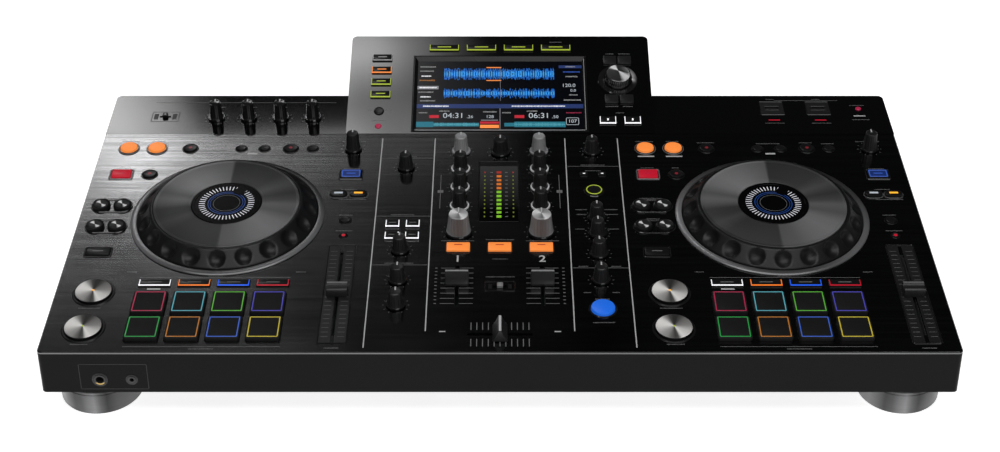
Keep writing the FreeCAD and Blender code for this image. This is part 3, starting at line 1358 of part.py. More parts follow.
def make_power_supply():
    """Power supply box and its transformer on the floor of the rear bay."""
    front = f"(({DISPLAY_S} + rib_width / 2) * cos(panel_tilt) + supply_gap)"
    right = "(body_width / 2 - supply_side)"
    box = block("supply_box", (f"{right} - supply_width", front, CASE_FLOOR),
                ("supply_width", "supply_depth", "supply_height"))
    core = block("transformer", (f"{right} - supply_width - transformer_side - 0.5", front, CASE_FLOOR),
                 ("transformer_side", "transformer_side", "transformer_side"))
    keep(group("power_supply", [box, core]), "power_supply", "case")


def place_cells():
    """Cells for the place and travel of every control."""
    rows = []
    for node, _shape, _area, across, along in KNOBS:
        rows += [(f"{node}_x", across, f"{node}, across"), (f"{node}_s", along, f"{node}, along")]
    for name, _shape, across, along in DECK_BUTTONS + MIXER_BUTTONS + DISPLAY_BUTTONS:
        rows += [(f"{name}_x", across, f"{name}, across"), (f"{name}_s", along, f"{name}, along")]
    for name, _area, across, along in SPACERS:
        rows += [(f"{name}_x", across, f"{name}, across"), (f"{name}_s", along, f"{name}, along")]
    for node, _cap, _area, across, along, down, up, _way in SLIDERS:
        rows += [(f"{node}_x", across, f"{node}, across"), (f"{node}_s", along, f"{node}, along"),
                 (f"{node}_down", down, f"{node}, travel down"), (f"{node}_up", up, f"{node}, travel up")]
    return rows


def check_document():
    """Stop if an object failed or a sub-part is not a sound solid."""
    for item in doc.Objects:
        if "Invalid" in item.State or "Error" in item.State:
            raise RuntimeError(f"{item.Name} failed: {item.State}")
    for node, piece in subparts.items():
        if piece.Shape.isNull() or not piece.Shape.isValid() or not piece.Shape.Solids:
            raise RuntimeError(f"{node} is not a sound solid")


def export_parts():
    os.makedirs(PARTS_FOLDER, exist_ok=True)
    for node, piece in subparts.items():
        piece.Shape.exportStep(os.path.join(PARTS_FOLDER, f"{node}.step"))
        size = piece.Shape.BoundBox
        lengths = f"{size.XLength:.1f} x {size.YLength:.1f} x {size.ZLength:.1f}"
        print(f"{node}: {len(piece.Shape.Solids)} solids, {lengths}")


add_sizes(SIZES + PAD_LAYOUT + place_cells())
doc.recompute()
make_bottom_case()
make_case_screws()
make_feet()
make_top_panel()
make_rear_strip()
make_display_housing()
make_display_face()
make_screen()
make_jogs()
make_level_meter()
make_circuit_boards()
make_control_modules()
make_power_supply()
make_sockets()
make_power_rocker()
make_knobs()
make_sliders()
make_button_groups()
doc.recompute()
check_document()
export_parts()
print(f"{len(subparts)} nodes")
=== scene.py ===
"""Looks of an all-in-one DJ console: finishes, caps, dials, lamps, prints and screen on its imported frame."""

import json
import logging
import math
from dataclasses import dataclass, field, replace
from enum import Enum
from itertools import cycle
from typing import Iterable, Sequence

import bmesh
import bpy
from mathutils import Matrix, Vector

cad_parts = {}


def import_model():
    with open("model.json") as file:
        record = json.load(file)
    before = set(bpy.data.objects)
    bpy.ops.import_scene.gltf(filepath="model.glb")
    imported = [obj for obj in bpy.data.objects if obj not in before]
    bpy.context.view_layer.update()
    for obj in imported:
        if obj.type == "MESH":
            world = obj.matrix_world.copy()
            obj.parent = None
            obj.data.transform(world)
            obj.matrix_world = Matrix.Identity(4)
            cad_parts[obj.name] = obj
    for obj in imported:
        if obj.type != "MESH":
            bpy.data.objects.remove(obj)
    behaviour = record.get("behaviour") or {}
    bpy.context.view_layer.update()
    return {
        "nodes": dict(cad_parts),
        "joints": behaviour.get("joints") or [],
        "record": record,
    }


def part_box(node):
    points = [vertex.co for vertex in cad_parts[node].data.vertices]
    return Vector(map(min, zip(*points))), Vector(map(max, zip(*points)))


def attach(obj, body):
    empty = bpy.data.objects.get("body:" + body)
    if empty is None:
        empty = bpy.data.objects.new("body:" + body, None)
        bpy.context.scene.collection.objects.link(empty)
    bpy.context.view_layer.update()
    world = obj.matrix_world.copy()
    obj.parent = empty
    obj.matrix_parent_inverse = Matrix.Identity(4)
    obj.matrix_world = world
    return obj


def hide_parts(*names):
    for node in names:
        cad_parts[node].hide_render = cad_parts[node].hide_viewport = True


MM = 0.001
LOG = logging.getLogger("dj_console")
Point = tuple[float, float]
Colour = tuple[float, float, float]
Loop = list[Vector]
Values = dict[int | str, object]
Sockets = tuple[bpy.types.NodeSocket, ...]

JOG_S = 178.6
BROWSE_PLACE = (111.6, 67.0)
PRINT_LIFT = 0.05
LAMP_LIFT = 0.12
CORNERS = ((1, 1), (-1, 1), (-1, -1), (1, -1))
FLUTED_ROWS = (1, 2, 3)


class GrainAndPaintedLight(Enum):
    """Surface structure of a finish; the streaked kinds also paint highlights into its colour, and the last
    kind paints a reflection.
    """

    FINE = "fine"
    BRUSHED = "brushed"
    CONIC = "conic"
    BOW = "bow"
    FAN = "fan"
    CRESCENT = "crescent"
    # Painted highlight streaks round the side of a turned foot.
    TURNED = "turned"
    # Painted highlight bands round the trim rings and the filter knobs' grips.
    ARC = "arc"
    FADE = "fade"


# Painted highlights: lightness of each streak at each place round the centre, which the material mixes into
# the base colour.
PAINTED_STREAKS: dict[GrainAndPaintedLight, tuple[Point, ...]] = {
    GrainAndPaintedLight.CONIC: (
        (0.0, 0.5), (0.03, 0.16), (0.06, 0.15), (0.085, 0.24), (0.12, 0.14), (0.21, 0.17), (0.248, 0.16),
        (0.253, 0.42), (0.29, 0.48), (0.33, 0.68), (0.38, 0.82), (0.42, 0.75), (0.455, 0.42), (0.49, 0.55),
        (0.51, 0.3), (0.54, 0.17), (0.58, 0.36), (0.62, 0.2), (0.71, 0.17), (0.748, 0.16), (0.753, 0.6),
        (0.79, 0.72), (0.83, 0.88), (0.88, 1.0), (0.92, 0.85), (0.96, 0.42), (0.985, 0.6), (1.0, 0.5)),
    GrainAndPaintedLight.BOW: (
        (0.0, 0.05), (0.28, 0.02), (0.33, 0.8), (0.4, 0.9), (0.45, 0.03), (0.78, 0.02), (0.83, 0.95),
        (0.91, 1.0), (0.96, 0.08), (1.0, 0.05)),
    GrainAndPaintedLight.FAN: (
        (0.0, 0.92), (0.04, 0.75), (0.083, 0.56), (0.125, 0.42), (0.17, 0.34), (0.21, 0.18), (0.25, 0.06),
        (0.28, 0.1), (0.305, 0.8), (0.33, 1.0), (0.375, 0.84), (0.417, 0.74), (0.458, 0.54), (0.5, 0.34),
        (0.542, 0.26), (0.583, 0.22), (0.625, 0.17), (0.667, 0.08), (0.708, 0.03), (0.75, 0.03), (0.79, 0.08),
        (0.833, 0.33), (0.875, 0.85), (0.917, 1.0), (0.96, 1.0), (1.0, 0.92)),
    GrainAndPaintedLight.ARC: (
        (0.0, 1.0), (0.08, 0.9), (0.17, 0.5), (0.24, 0.3), (0.3, 0.35), (0.39, 0.75), (0.46, 0.7),
        (0.55, 0.25), (0.65, 0.08), (0.8, 0.08), (0.9, 0.4), (1.0, 1.0)),
    GrainAndPaintedLight.TURNED: (
        (0.0, 0.4), (0.1, 0.9), (0.14, 0.5), (0.17, 0.18), (0.2, 0.3), (0.225, 0.62), (0.25, 0.85),
        (0.275, 0.35), (0.3, 0.1), (0.34, 0.3), (0.4, 0.42), (0.5, 0.2), (0.62, 0.7), (0.75, 0.3),
        (0.88, 0.6), (1.0, 0.4)),
    GrainAndPaintedLight.CRESCENT: (
        (0.0, 1.0), (0.083, 1.0), (0.153, 0.75), (0.208, 0.4), (0.25, 0.25), (0.292, 0.4), (0.347, 0.75),
        (0.417, 1.0), (0.5, 1.0), (0.57, 0.7), (0.64, 0.1), (0.75, 0.05), (0.86, 0.1), (0.93, 0.7),
        (1.0, 1.0)),
}


@dataclass(frozen=True)
class Finish:
    """One finish of the console, with the values its material is made from."""

    name: str
    colour: Colour
    rough: float = 0.5
    metal: float = 0.0
    coat: float = 0.0
    grain_and_painted_light: GrainAndPaintedLight = GrainAndPaintedLight.FINE
    spread: float = 0.25
    bump: float = 0.08
    scale: float = 900.0
    glow: float = 0.0
    shine: float = 0.5
    centre: tuple[float, float, float] = (0.0, 0.0, 0.0)


PANEL = Finish("black_brushed_panel", (0.16, 0.16, 0.162), 0.13, 1.0, 0.0, GrainAndPaintedLight.BRUSHED, 0.7, 0.06)
GLOSS = Finish("piano_black", (0.002, 0.002, 0.0022), 0.07, 0.0, 0.5, spread=0.1, bump=0.01, scale=300.0,
               shine=0.85)
CASE = Finish("case_paint", (0.004, 0.004, 0.0042), 0.36, spread=0.2, bump=0.1, scale=1600.0, shine=0.1)
# Painted highlights: light and dark streaks round the foot's side, in its colour.
FOOT = Finish("turned_foot", (0.15, 0.15, 0.153), 0.35, 0.15, 0.0, GrainAndPaintedLight.TURNED, 0.95, 0.03, 3000.0,
              shine=0.2)
FOOT_NECK = Finish("foot_neck", (0.012, 0.012, 0.012), 0.6)
# Painted highlights: light and dark bands round the trim ring, in its colour.
RING = Finish("satin_ring", (0.19, 0.19, 0.195), 0.3, 0.5, 0.0, GrainAndPaintedLight.ARC, 0.95, 0.03, 4000.0)
WHEEL = Finish("wheel_flank", (0.01, 0.01, 0.0105), 0.4, 0.1, 0.0, spread=0.15, bump=0.04, scale=1200.0,
               shine=0.32)
# Painted highlights: bright and dark wedges round the centre of the spun plate, in its colour.
PLATE = Finish("spun_plate", (0.14, 0.14, 0.143), 0.42, 0.1, 0.0, GrainAndPaintedLight.CONIC, 0.95, 0.05, 3500.0, shine=0.2)
DIAL_GLASS = Finish("dial_glass", (0.003, 0.003, 0.0035), 0.15, spread=0.1, bump=0.005, shine=0.05)
KNOB = Finish("knob_black", (0.015, 0.015, 0.0155), 0.35, 0.0, 0.08, spread=0.2, bump=0.05, scale=1500.0,
              shine=0.35)
KNOB_GLOSS = Finish("knob_gloss", (0.012, 0.012, 0.012), 0.12, 0.0, 0.6, spread=0.1, bump=0.01)
KNOB_LIGHT = Finish("knob_grey", (0.42, 0.42, 0.43), 0.32, 0.25, 0.0, spread=0.08, bump=0.04)
KNOB_SILVER = Finish("knob_silver", (0.2, 0.2, 0.205), 0.38, 0.2, 0.0, spread=0.1, bump=0.03)
# Painted highlights: light and dark bands round the filter knob's grip, in its colour.
KNOB_TURNED_PAINTED = Finish("knob_turned", (0.2, 0.2, 0.205), 0.42, 0.0, 0.0, GrainAndPaintedLight.ARC, 0.85, 0.03, 3000.0,
                     shine=0.15)
# Painted highlights: two opposite bright wedges on the browse knob's top, in its colour.
KNOB_CHROME_PAINTED = Finish("knob_chrome", (0.5, 0.5, 0.51), 0.16, 0.0, 0.4, GrainAndPaintedLight.BOW, 0.98, 0.01, 3000.0,
                     shine=0.6)
# Painted highlight: a light grey line along the panel's front edge, where its chamfer would catch the light.
EDGE_PAINTED_HIGHLIGHT = Finish("panel_edge", (0.045, 0.045, 0.046), 0.4, spread=0.1, shine=0.2)
CAP = Finish("cap_black", (0.009, 0.009, 0.0095), 0.32, 0.0, 0.12, spread=0.15, bump=0.03, shine=0.3)
CAP_GREY = Finish("cap_grey", (0.33, 0.33, 0.33), 0.3, 0.3, 0.2, spread=0.06, bump=0.02)
PAD_RUBBER = Finish("pad_rubber", (0.0095, 0.0095, 0.01), 0.62, spread=0.25, bump=0.14, scale=2200.0,
                    shine=0.25)
SLIDER = Finish("slider_cap", (0.015, 0.015, 0.0155), 0.4, 0.0, 0.1, spread=0.2, bump=0.08, scale=1800.0,
                shine=0.35)
WELL = Finish("dark_well", (0.006, 0.006, 0.006), 0.5, spread=0.2)
DARK_CHROME = Finish("dark_chrome", (0.3, 0.3, 0.31), 0.12, 1.0, 0.0, spread=0.05, bump=0.01)
# Painted highlights: bright and dark wedges round the start and cue buttons, in their colour.
SILVER_SPUN_PAINTED = Finish("spun_silver", (0.5, 0.49, 0.475), 0.4, 0.0, 0.0, GrainAndPaintedLight.FAN, 0.98, 0.04, 4000.0,
                     shine=0.06)
# Painted highlights: two opposite bright wedges on the dark search buttons; elsewhere the mask keeps them near
# black.
DARK_SPUN_PAINTED = Finish("spun_dark", (0.75, 0.75, 0.75), 0.35, 0.0, 0.0, GrainAndPaintedLight.BOW, 1.0, 0.03, 4000.0, shine=0.1)
# Painted highlights: the tone knobs' skirts are bright at the sides and darker at the front and back, in their
# colour.
CRESCENT = Finish("bright_skirt", (0.5, 0.5, 0.51), 0.3, 0.2, 0.0, GrainAndPaintedLight.CRESCENT, 0.98, 0.02, 4000.0)
# Painted highlights: light and dark wedges on the filter knobs' tops, in their colour.
BRIGHT = Finish("bright_top", (0.78, 0.78, 0.79), 0.3, 0.1, 0.0, GrainAndPaintedLight.FAN, 0.75, 0.02, 4000.0)
# Painted reflection: the meter window grows from near black to dark grey towards the back.
SMOKED_PAINTED_REFLECTION = Finish("smoked_glass", (0.035, 0.035, 0.036), 0.12, 0.0, 0.0, GrainAndPaintedLight.FADE, 1.0, 0.0, 13.0, shine=0.3,
                centre=(0.0, -0.045, 0.0))
PRINT = Finish("print_white", (0.6, 0.6, 0.6), 0.6, spread=0.06, shine=0.1)
PRINT_DIM = Finish("print_grey", (0.2, 0.2, 0.2), 0.6, spread=0.08, shine=0.1)
# Painted glow: the brass jack ring gives off light, though it is no lamp.
BRASS_PAINTED_GLOW = Finish("jack_brass", (0.5, 0.34, 0.1), 0.4, 0.2, spread=0.1, bump=0.02, glow=0.25)
STEEL = Finish("socket_steel", (0.55, 0.55, 0.56), 0.28, 1.0, spread=0.1, bump=0.03)
SCREW = Finish("screw_black", (0.08, 0.08, 0.082), 0.35, 0.9, spread=0.15, bump=0.05)
BOARD = Finish("circuit_board", (0.003, 0.012, 0.006), 0.45, 0.0, 0.1, spread=0.3, bump=0.04)
MODULE = Finish("module_steel", (0.3, 0.3, 0.31), 0.4, 0.9, spread=0.15, bump=0.05)
SOCKET = Finish("socket_plastic", (0.015, 0.015, 0.015), 0.45, spread=0.2, bump=0.05)
SOCKET_RED = Finish("socket_red", (0.45, 0.02, 0.02), 0.4, spread=0.1)
SOCKET_WHITE = Finish("socket_white", (0.6, 0.6, 0.58), 0.4, spread=0.1)
FRAME_GREY = Finish("screen_frame", (0.008, 0.008, 0.0085), 0.25, spread=0.1, bump=0.01, shine=0.2)
SCREEN_BACK = Finish("screen_back", (0.003, 0.0035, 0.006), 0.12, spread=0.1, bump=0.0, shine=0.3)
FLOOR = Finish("pale_floor", (0.86, 0.86, 0.86), 0.75, spread=0.03, bump=0.01, scale=20.0, glow=0.98)


def lamp(name: str, colour: Colour, glow: float = 1.6) -> Finish:
    """Finish of a lit lens or line of a colour."""
    return Finish(name, colour, 0.35, spread=0.12, bump=0.02, glow=glow)


ORANGE = lamp("lamp_orange", (0.95, 0.26, 0.05), 0.55)
AMBER = lamp("lamp_amber", (0.9, 0.19, 0.02), 0.6)
YELLOW = lamp("lamp_yellow", (1.0, 0.42, 0.03), 0.8)
RED = lamp("lamp_red", (0.5, 0.008, 0.025), 0.45)
ROSE = lamp("lamp_rose", (0.4, 0.02, 0.07), 0.35)
METER_GREEN = lamp("meter_green", (0.2, 0.5, 0.025), 0.5)
METER_ORANGE = lamp("meter_orange", (0.6, 0.15, 0.02), 0.5)
METER_DIM = lamp("meter_dim", (0.16, 0.2, 0.02), 0.3)
METER_RED = lamp("meter_red", (0.35, 0.03, 0.02), 0.4)
DIAL_BLUE = lamp("dial_blue", (0.01, 0.045, 0.2), 0.35)
DIAL_WHITE = lamp("dial_white", (0.62, 0.62, 0.66), 0.5)
DIM_BLUE = lamp("dim_blue", (0.01, 0.03, 0.16), 0.25)
RED_DIM = lamp("lamp_red_dim", (0.25, 0.02, 0.03), 0.15)
CYAN = lamp("lamp_cyan", (0.1, 0.42, 0.5), 0.3)
GREEN = lamp("lamp_green", (0.1, 0.45, 0.04), 0.3)
LEAF = lamp("lamp_leaf", (0.02, 0.33, 0.06), 0.3)
VIOLET = lamp("lamp_violet", (0.07, 0.06, 0.45), 0.35)
TAN = lamp("lamp_tan", (0.5, 0.18, 0.025), 0.3)
SKY = lamp("lamp_sky", (0.045, 0.12, 0.55), 0.35)
LEMON = lamp("lamp_lemon", (0.6, 0.48, 0.04), 0.3)
LIME = lamp("lamp_lime", (0.34, 0.43, 0.03), 0.55)
BLUE = lamp("lamp_blue", (0.015, 0.1, 0.75), 0.7)
BRIGHT_BLUE = lamp("lamp_bright_blue", (0.012, 0.12, 0.62), 0.6)
WAVE_BLUE = lamp("screen_wave", (0.006, 0.12, 0.5), 0.8)
WAVE_CORE = lamp("screen_wave_core", (0.035, 0.3, 0.75), 0.85)
TEAL = lamp("screen_teal", (0.006, 0.12, 0.17), 0.7)
NAVY = lamp("screen_band", (0.008, 0.022, 0.1), 0.7)
SCREEN_TEXT = lamp("screen_text", (0.42, 0.46, 0.5), 0.55)
WHITE = lamp("lamp_white", (0.85, 0.85, 0.87), 0.8)
SCREEN_GREY = lamp("screen_grey", (0.2, 0.2, 0.22), 0.5)


class Socket(Enum):
    """Kinds of named inputs and outputs of a node group."""

    WHOLE = "NodeSocketInt"
    NUMBER = "NodeSocketFloat"
    VECTOR = "NodeSocketVector"
    MATERIAL = "NodeSocketMaterial"
    SHAPE = "NodeSocketGeometry"


class Tree:
    """A node tree that takes each node with its settings and links in one call."""

    def __init__(self, tree: bpy.types.NodeTree) -> None:
        """Take over a tree."""
        self.tree = tree

    def open(self, inputs: dict[str, Socket], outputs: dict[str, Socket]) -> None:
        """Give a group its sockets.

        Args:
            inputs: kind of each named input.
            outputs: kind of each named output.
        """
        for side, sockets in (("INPUT", inputs), ("OUTPUT", outputs)):
            for label, kind in sockets.items():
                self.tree.interface.new_socket(label, in_out=side, socket_type=kind.value)
        self.inner = self.tree.nodes.new("NodeGroupInput").outputs
        self.outer = self.tree.nodes.new("NodeGroupOutput").inputs

    def close(self, *results: bpy.types.NodeSocket) -> None:
        """Link results to the group's outputs in their order."""
        for source, socket in zip(results, self.outer):
            self.tree.links.new(source, socket)

    def fill(self, node: bpy.types.Node, values: Values) -> None:
        """Set or link inputs of a node.

        Args:
            node: the node.
            values: value or source of each input.
        """
        for label, value in values.items():
            if isinstance(value, bpy.types.NodeSocket):
                self.tree.links.new(value, node.inputs[label])
            else:
                node.inputs[label].default_value = value

    def node(self, kind: str, values: Values | None = None, output: int | str = 0,
             **settings: object) -> bpy.types.NodeSocket:
        """Add a node.

        Args:
            kind: type of the node.
            values: value or source of each input.
            output: number or name of the wanted output.
            settings: settings of the node.

        Returns:
            The wanted output.
        """
        made = self.tree.nodes.new(kind)
        for label, value in settings.items():
            setattr(made, label, value)
        self.fill(made, values or {})
        return made.outputs[output]

    def math(self, operation: str, *terms: object, **settings: object) -> bpy.types.NodeSocket:
        """Result of a sum of sockets or numbers."""
        return self.node("ShaderNodeMath", dict(enumerate(terms)), operation=operation, **settings)

    def ramp(self, place: bpy.types.NodeSocket, steps: Sequence[Point]) -> bpy.types.NodeSocket:
        """Ramp of greys.

        Args:
            place: socket that the ramp runs along.
            steps: place and lightness of each grey, from end to end.

        Returns:
            The grey.
        """
        grey = self.node("ShaderNodeValToRGB", {"Fac": place})
        elements = grey.node.color_ramp.elements
        for spot, light in steps[1:-1]:
            elements.new(spot).color = (light, light, light, 1.0)
        for end in (0, -1):
            elements[end].color = (*[steps[end][1]] * 3, 1.0)
        return grey


class Workshop:
    """Builds materials and shared shader groups once and hands them out."""

    coat_rough = 0.08
    bump_reach = 0.0004

    def __init__(self) -> None:
        """Start with no materials made."""
        self.made: dict[Finish, bpy.types.Material] = {}
        self.groups: dict[GrainAndPaintedLight, bpy.types.NodeTree] = {}

    def group(self, grain_and_painted_light: GrainAndPaintedLight) -> bpy.types.NodeTree:
        """Shader group of a surface structure and of any light that it paints into the colour.

        Args:
            grain_and_painted_light: which surface structure and painted light.

        Returns:
            A group with inputs Scale and Centre and outputs Mask, Height and Smudge.
        """
        if grain_and_painted_light not in self.groups:
            tree = Tree(bpy.data.node_groups.new(f"{grain_and_painted_light.value}_grain", "ShaderNodeTree"))
            tree.open({"Scale": Socket.NUMBER, "Centre": Socket.VECTOR},
                      dict.fromkeys(("Mask", "Height", "Smudge"), Socket.NUMBER))
            where = tree.node("ShaderNodeTexCoord", output="Object")
            place = tree.node("ShaderNodeVectorMath", {0: where, 1: tree.inner["Centre"]},
                              operation="SUBTRACT")
            if grain_and_painted_light in PAINTED_STREAKS:
                tree.close(*self.turned(tree, PAINTED_STREAKS[grain_and_painted_light], place))
            else:
                tree.close(*self.plain(tree, grain_and_painted_light, where, place))
            self.groups[grain_and_painted_light] = tree.tree
        return self.groups[grain_and_painted_light]

    @staticmethod
    def turned(tree: Tree, steps: Sequence[Point], place: bpy.types.NodeSocket) -> Sockets:
        """Painted highlights of turned metal: streaks of light round the centre, made uneven by the grooves.

        Args:
            tree: tree of the group.
            steps: place round the centre and painted lightness of each streak.
            place: place from the centre.

        Returns:
            Mask of painted highlights, and height and smudge of the grooves.
        """
        fan = tree.ramp(tree.node("ShaderNodeTexGradient", {"Vector": place}, "Fac", gradient_type="RADIAL"),
                        steps)
        radius = tree.node("ShaderNodeVectorMath", {0: place}, "Value", operation="LENGTH")
        grooves = tree.node("ShaderNodeTexNoise", {
            "Vector": tree.node("ShaderNodeCombineXYZ", {"X": radius}), "Scale": tree.inner["Scale"],
            "Detail": 3.0}, "Fac")
        uneven = tree.math("MULTIPLY_ADD", grooves, 0.4, 0.8)
        return tree.math("MULTIPLY", uneven, fan), grooves, grooves

    @staticmethod
    def plain(tree: Tree, grain_and_painted_light: GrainAndPaintedLight, where: bpy.types.NodeSocket, place: bpy.types.NodeSocket) -> Sockets:
        """Fine or brushed structure, or a painted reflection that grows lighter along y.

        Args:
            tree: tree of the group.
            grain_and_painted_light: which structure, or the painted reflection.
            where: object coordinates.
            place: place from the centre.

        Returns:
            Mask, height and smudge.
        """
        stretch = (0.008, 0.4, 0.4) if grain_and_painted_light is GrainAndPaintedLight.BRUSHED else (1.0, 1.0, 1.0)
        stretched = tree.node("ShaderNodeVectorMath", {0: place, 1: stretch}, operation="MULTIPLY")
        mask, height = (
            tree.node("ShaderNodeTexNoise", {
                "Vector": stretched, "Scale": tree.math("MULTIPLY", tree.inner["Scale"], factor),
                "Detail": detail}, "Fac")
            for factor, detail in ((1.0, 4.0), (2.3, 2.0)))
        # Painted reflection: the mask grows lighter along y from the centre, in place of the tone noise.
        if grain_and_painted_light is GrainAndPaintedLight.FADE:
            along = tree.node("ShaderNodeSeparateXYZ", {0: place}, "Y")
            mask = tree.math("MULTIPLY", along, tree.inner["Scale"], use_clamp=True)
        return mask, height, tree.node("ShaderNodeTexNoise", {"Vector": where, "Scale": 14.0, "Detail": 3.0},
                                       "Fac")

    def material(self, finish: Finish) -> bpy.types.Material:
        """Material of a finish, made once.

        Args:
            finish: the finish with its values.

        Returns:
            A node material on Object coordinates.
        """
        if finish in self.made:
            return self.made[finish]
        self.made[finish] = material = bpy.data.materials.new(finish.name)
        material.use_nodes = True
        tree = Tree(material.node_tree)
        shader = tree.tree.nodes["Principled BSDF"]
        grain_and_painted_light = tree.node("ShaderNodeGroup", {"Scale": finish.scale, "Centre": finish.centre},
                          node_tree=self.group(finish.grain_and_painted_light)).node.outputs
        # The mask shifts the colour: random tone on plain finishes, painted light on streaked and smoked ones.
        dark, light = ((*[min(1.0, part * share) for part in finish.colour], 1.0)
                       for share in (1.0 - finish.spread, 1.0 + finish.spread))
        tint = tree.node("ShaderNodeMix", {"A": dark, "B": light, "Factor": grain_and_painted_light["Mask"]}, "Result",
                         data_type="RGBA")
        rough = tree.node("ShaderNodeMapRange", {
            "From Min": 0.3, "From Max": 0.7, "To Min": finish.rough * 0.85,
            "To Max": min(1.0, finish.rough * 1.2), "Value": grain_and_painted_light["Smudge"]}, "Result")
        bump = tree.node("ShaderNodeBump", {
            "Strength": finish.bump, "Distance": self.bump_reach, "Height": grain_and_painted_light["Height"]}, "Normal")
        tree.fill(shader, {
            "Metallic": finish.metal, "Coat Weight": finish.coat, "Coat Roughness": self.coat_rough,
            "Specular IOR Level": finish.shine, "Base Color": tint, "Roughness": rough, "Normal": bump})
        if finish.glow:
            tree.fill(shader, {"Emission Color": tint, "Emission Strength": finish.glow})
        return material


WORKSHOP = Workshop()


def stand(name: str, data: bpy.types.ID) -> bpy.types.Object:
    """New object of the scene."""
    made = bpy.data.objects.new(name, data)
    bpy.context.scene.collection.objects.link(made)
    return made


@dataclass(frozen=True)
class Surface:
    """A working surface of the console; its own axes are millimetres across, along and out."""

    origin: Vector
    tilt: float

    def matrix(self) -> Matrix:
        """Matrix from the surface's millimetres to the frame's metres."""
        turn = Matrix.Rotation(self.tilt, 4, "X")
        return Matrix.Translation(self.origin) @ turn @ Matrix.Scale(MM, 4)

    def local(self, point: Sequence[float]) -> Vector:
        """Place of a frame point on this surface, in millimetres."""
        return self.matrix().inverted() @ Vector(point)


@dataclass(frozen=True)
class Island:
    """One loose solid of a CAD node, measured on its surface."""

    centre: Point
    size: Point
    top: float
    round: bool


def islands(node: str, surface: Surface) -> list[Island]:
    """Loose solids of a CAD node.

    Args:
        node: name of the CAD node.
        surface: surface that the solids are measured on.

    Returns:
        One island per solid, in order along and then across the surface.
    """
    mesh = bpy.data.objects[node].data
    inverse = surface.matrix().inverted()
    places = [inverse @ vertex.co for vertex in mesh.vertices]
    owner: dict[tuple[int, int, int], int] = {}
    merged = [owner.setdefault(tuple(round(part * 50) for part in spot), i) for i, spot in enumerate(places)]
    parent = list(range(len(places)))

    def find(index: int) -> int:
        """Root of a vertex."""
        while parent[index] != index:
            parent[index] = parent[parent[index]]
            index = parent[index]
        return index

    for face in mesh.polygons:
        first = find(merged[face.vertices[0]])
        for other in face.vertices[1:]:
            parent[find(merged[other])] = first
    sets: dict[int, list[Vector]] = {}
    for index, spot in enumerate(merged):
        sets.setdefault(find(spot), []).append(places[index])
    found = []
    for spots in sets.values():
        low = [min(p[axis] for p in spots) for axis in range(3)]
        high = [max(p[axis] for p in spots) for axis in range(3)]
        centre = ((low[0] + high[0]) / 2, (low[1] + high[1]) / 2)
        half = ((high[0] - low[0]) / 2, (high[1] - low[1]) / 2)
        reach = max(abs(p.x - centre[0]) / half[0] + abs(p.y - centre[1]) / half[1] for p in spots)
        found.append(Island(centre, (2 * half[0], 2 * half[1]), high[2], reach < 1.6))
    return sorted(found, key=lambda island: (round(island.centre[1] / 4), island.centre[0]))


def polar(centre: Point, radius: float, angle: float, height: float) -> Vector:
    """Point at a radius and an angle from a centre."""
    return Vector((centre[0] + radius * math.cos(angle), centre[1] + radius * math.sin(angle), height))


def rounded(centre: Point, size: Point, corner: float, height: float) -> Loop:
    """Rounded rectangle, or a circle where the corner is half the size.

    Args:
        centre: middle on the surface.
        size: width and length.
        corner: corner radius.
        height: place out of the surface.

    Returns:
        Points counterclockwise.
    """
    corner = max(0.02, min(corner, size[0] / 2, size[1] / 2))
    steps = 14 if corner > 0.45 * min(size) else 5
    points = []
    for quarter, (side, end) in enumerate(CORNERS):
        middle = (centre[0] + side * (size[0] / 2 - corner), centre[1] + end * (size[1] / 2 - corner))
        points += [polar(middle, corner, math.pi / 2 * (quarter + step / steps), height)
                   for step in range(steps + 1)]
    return points


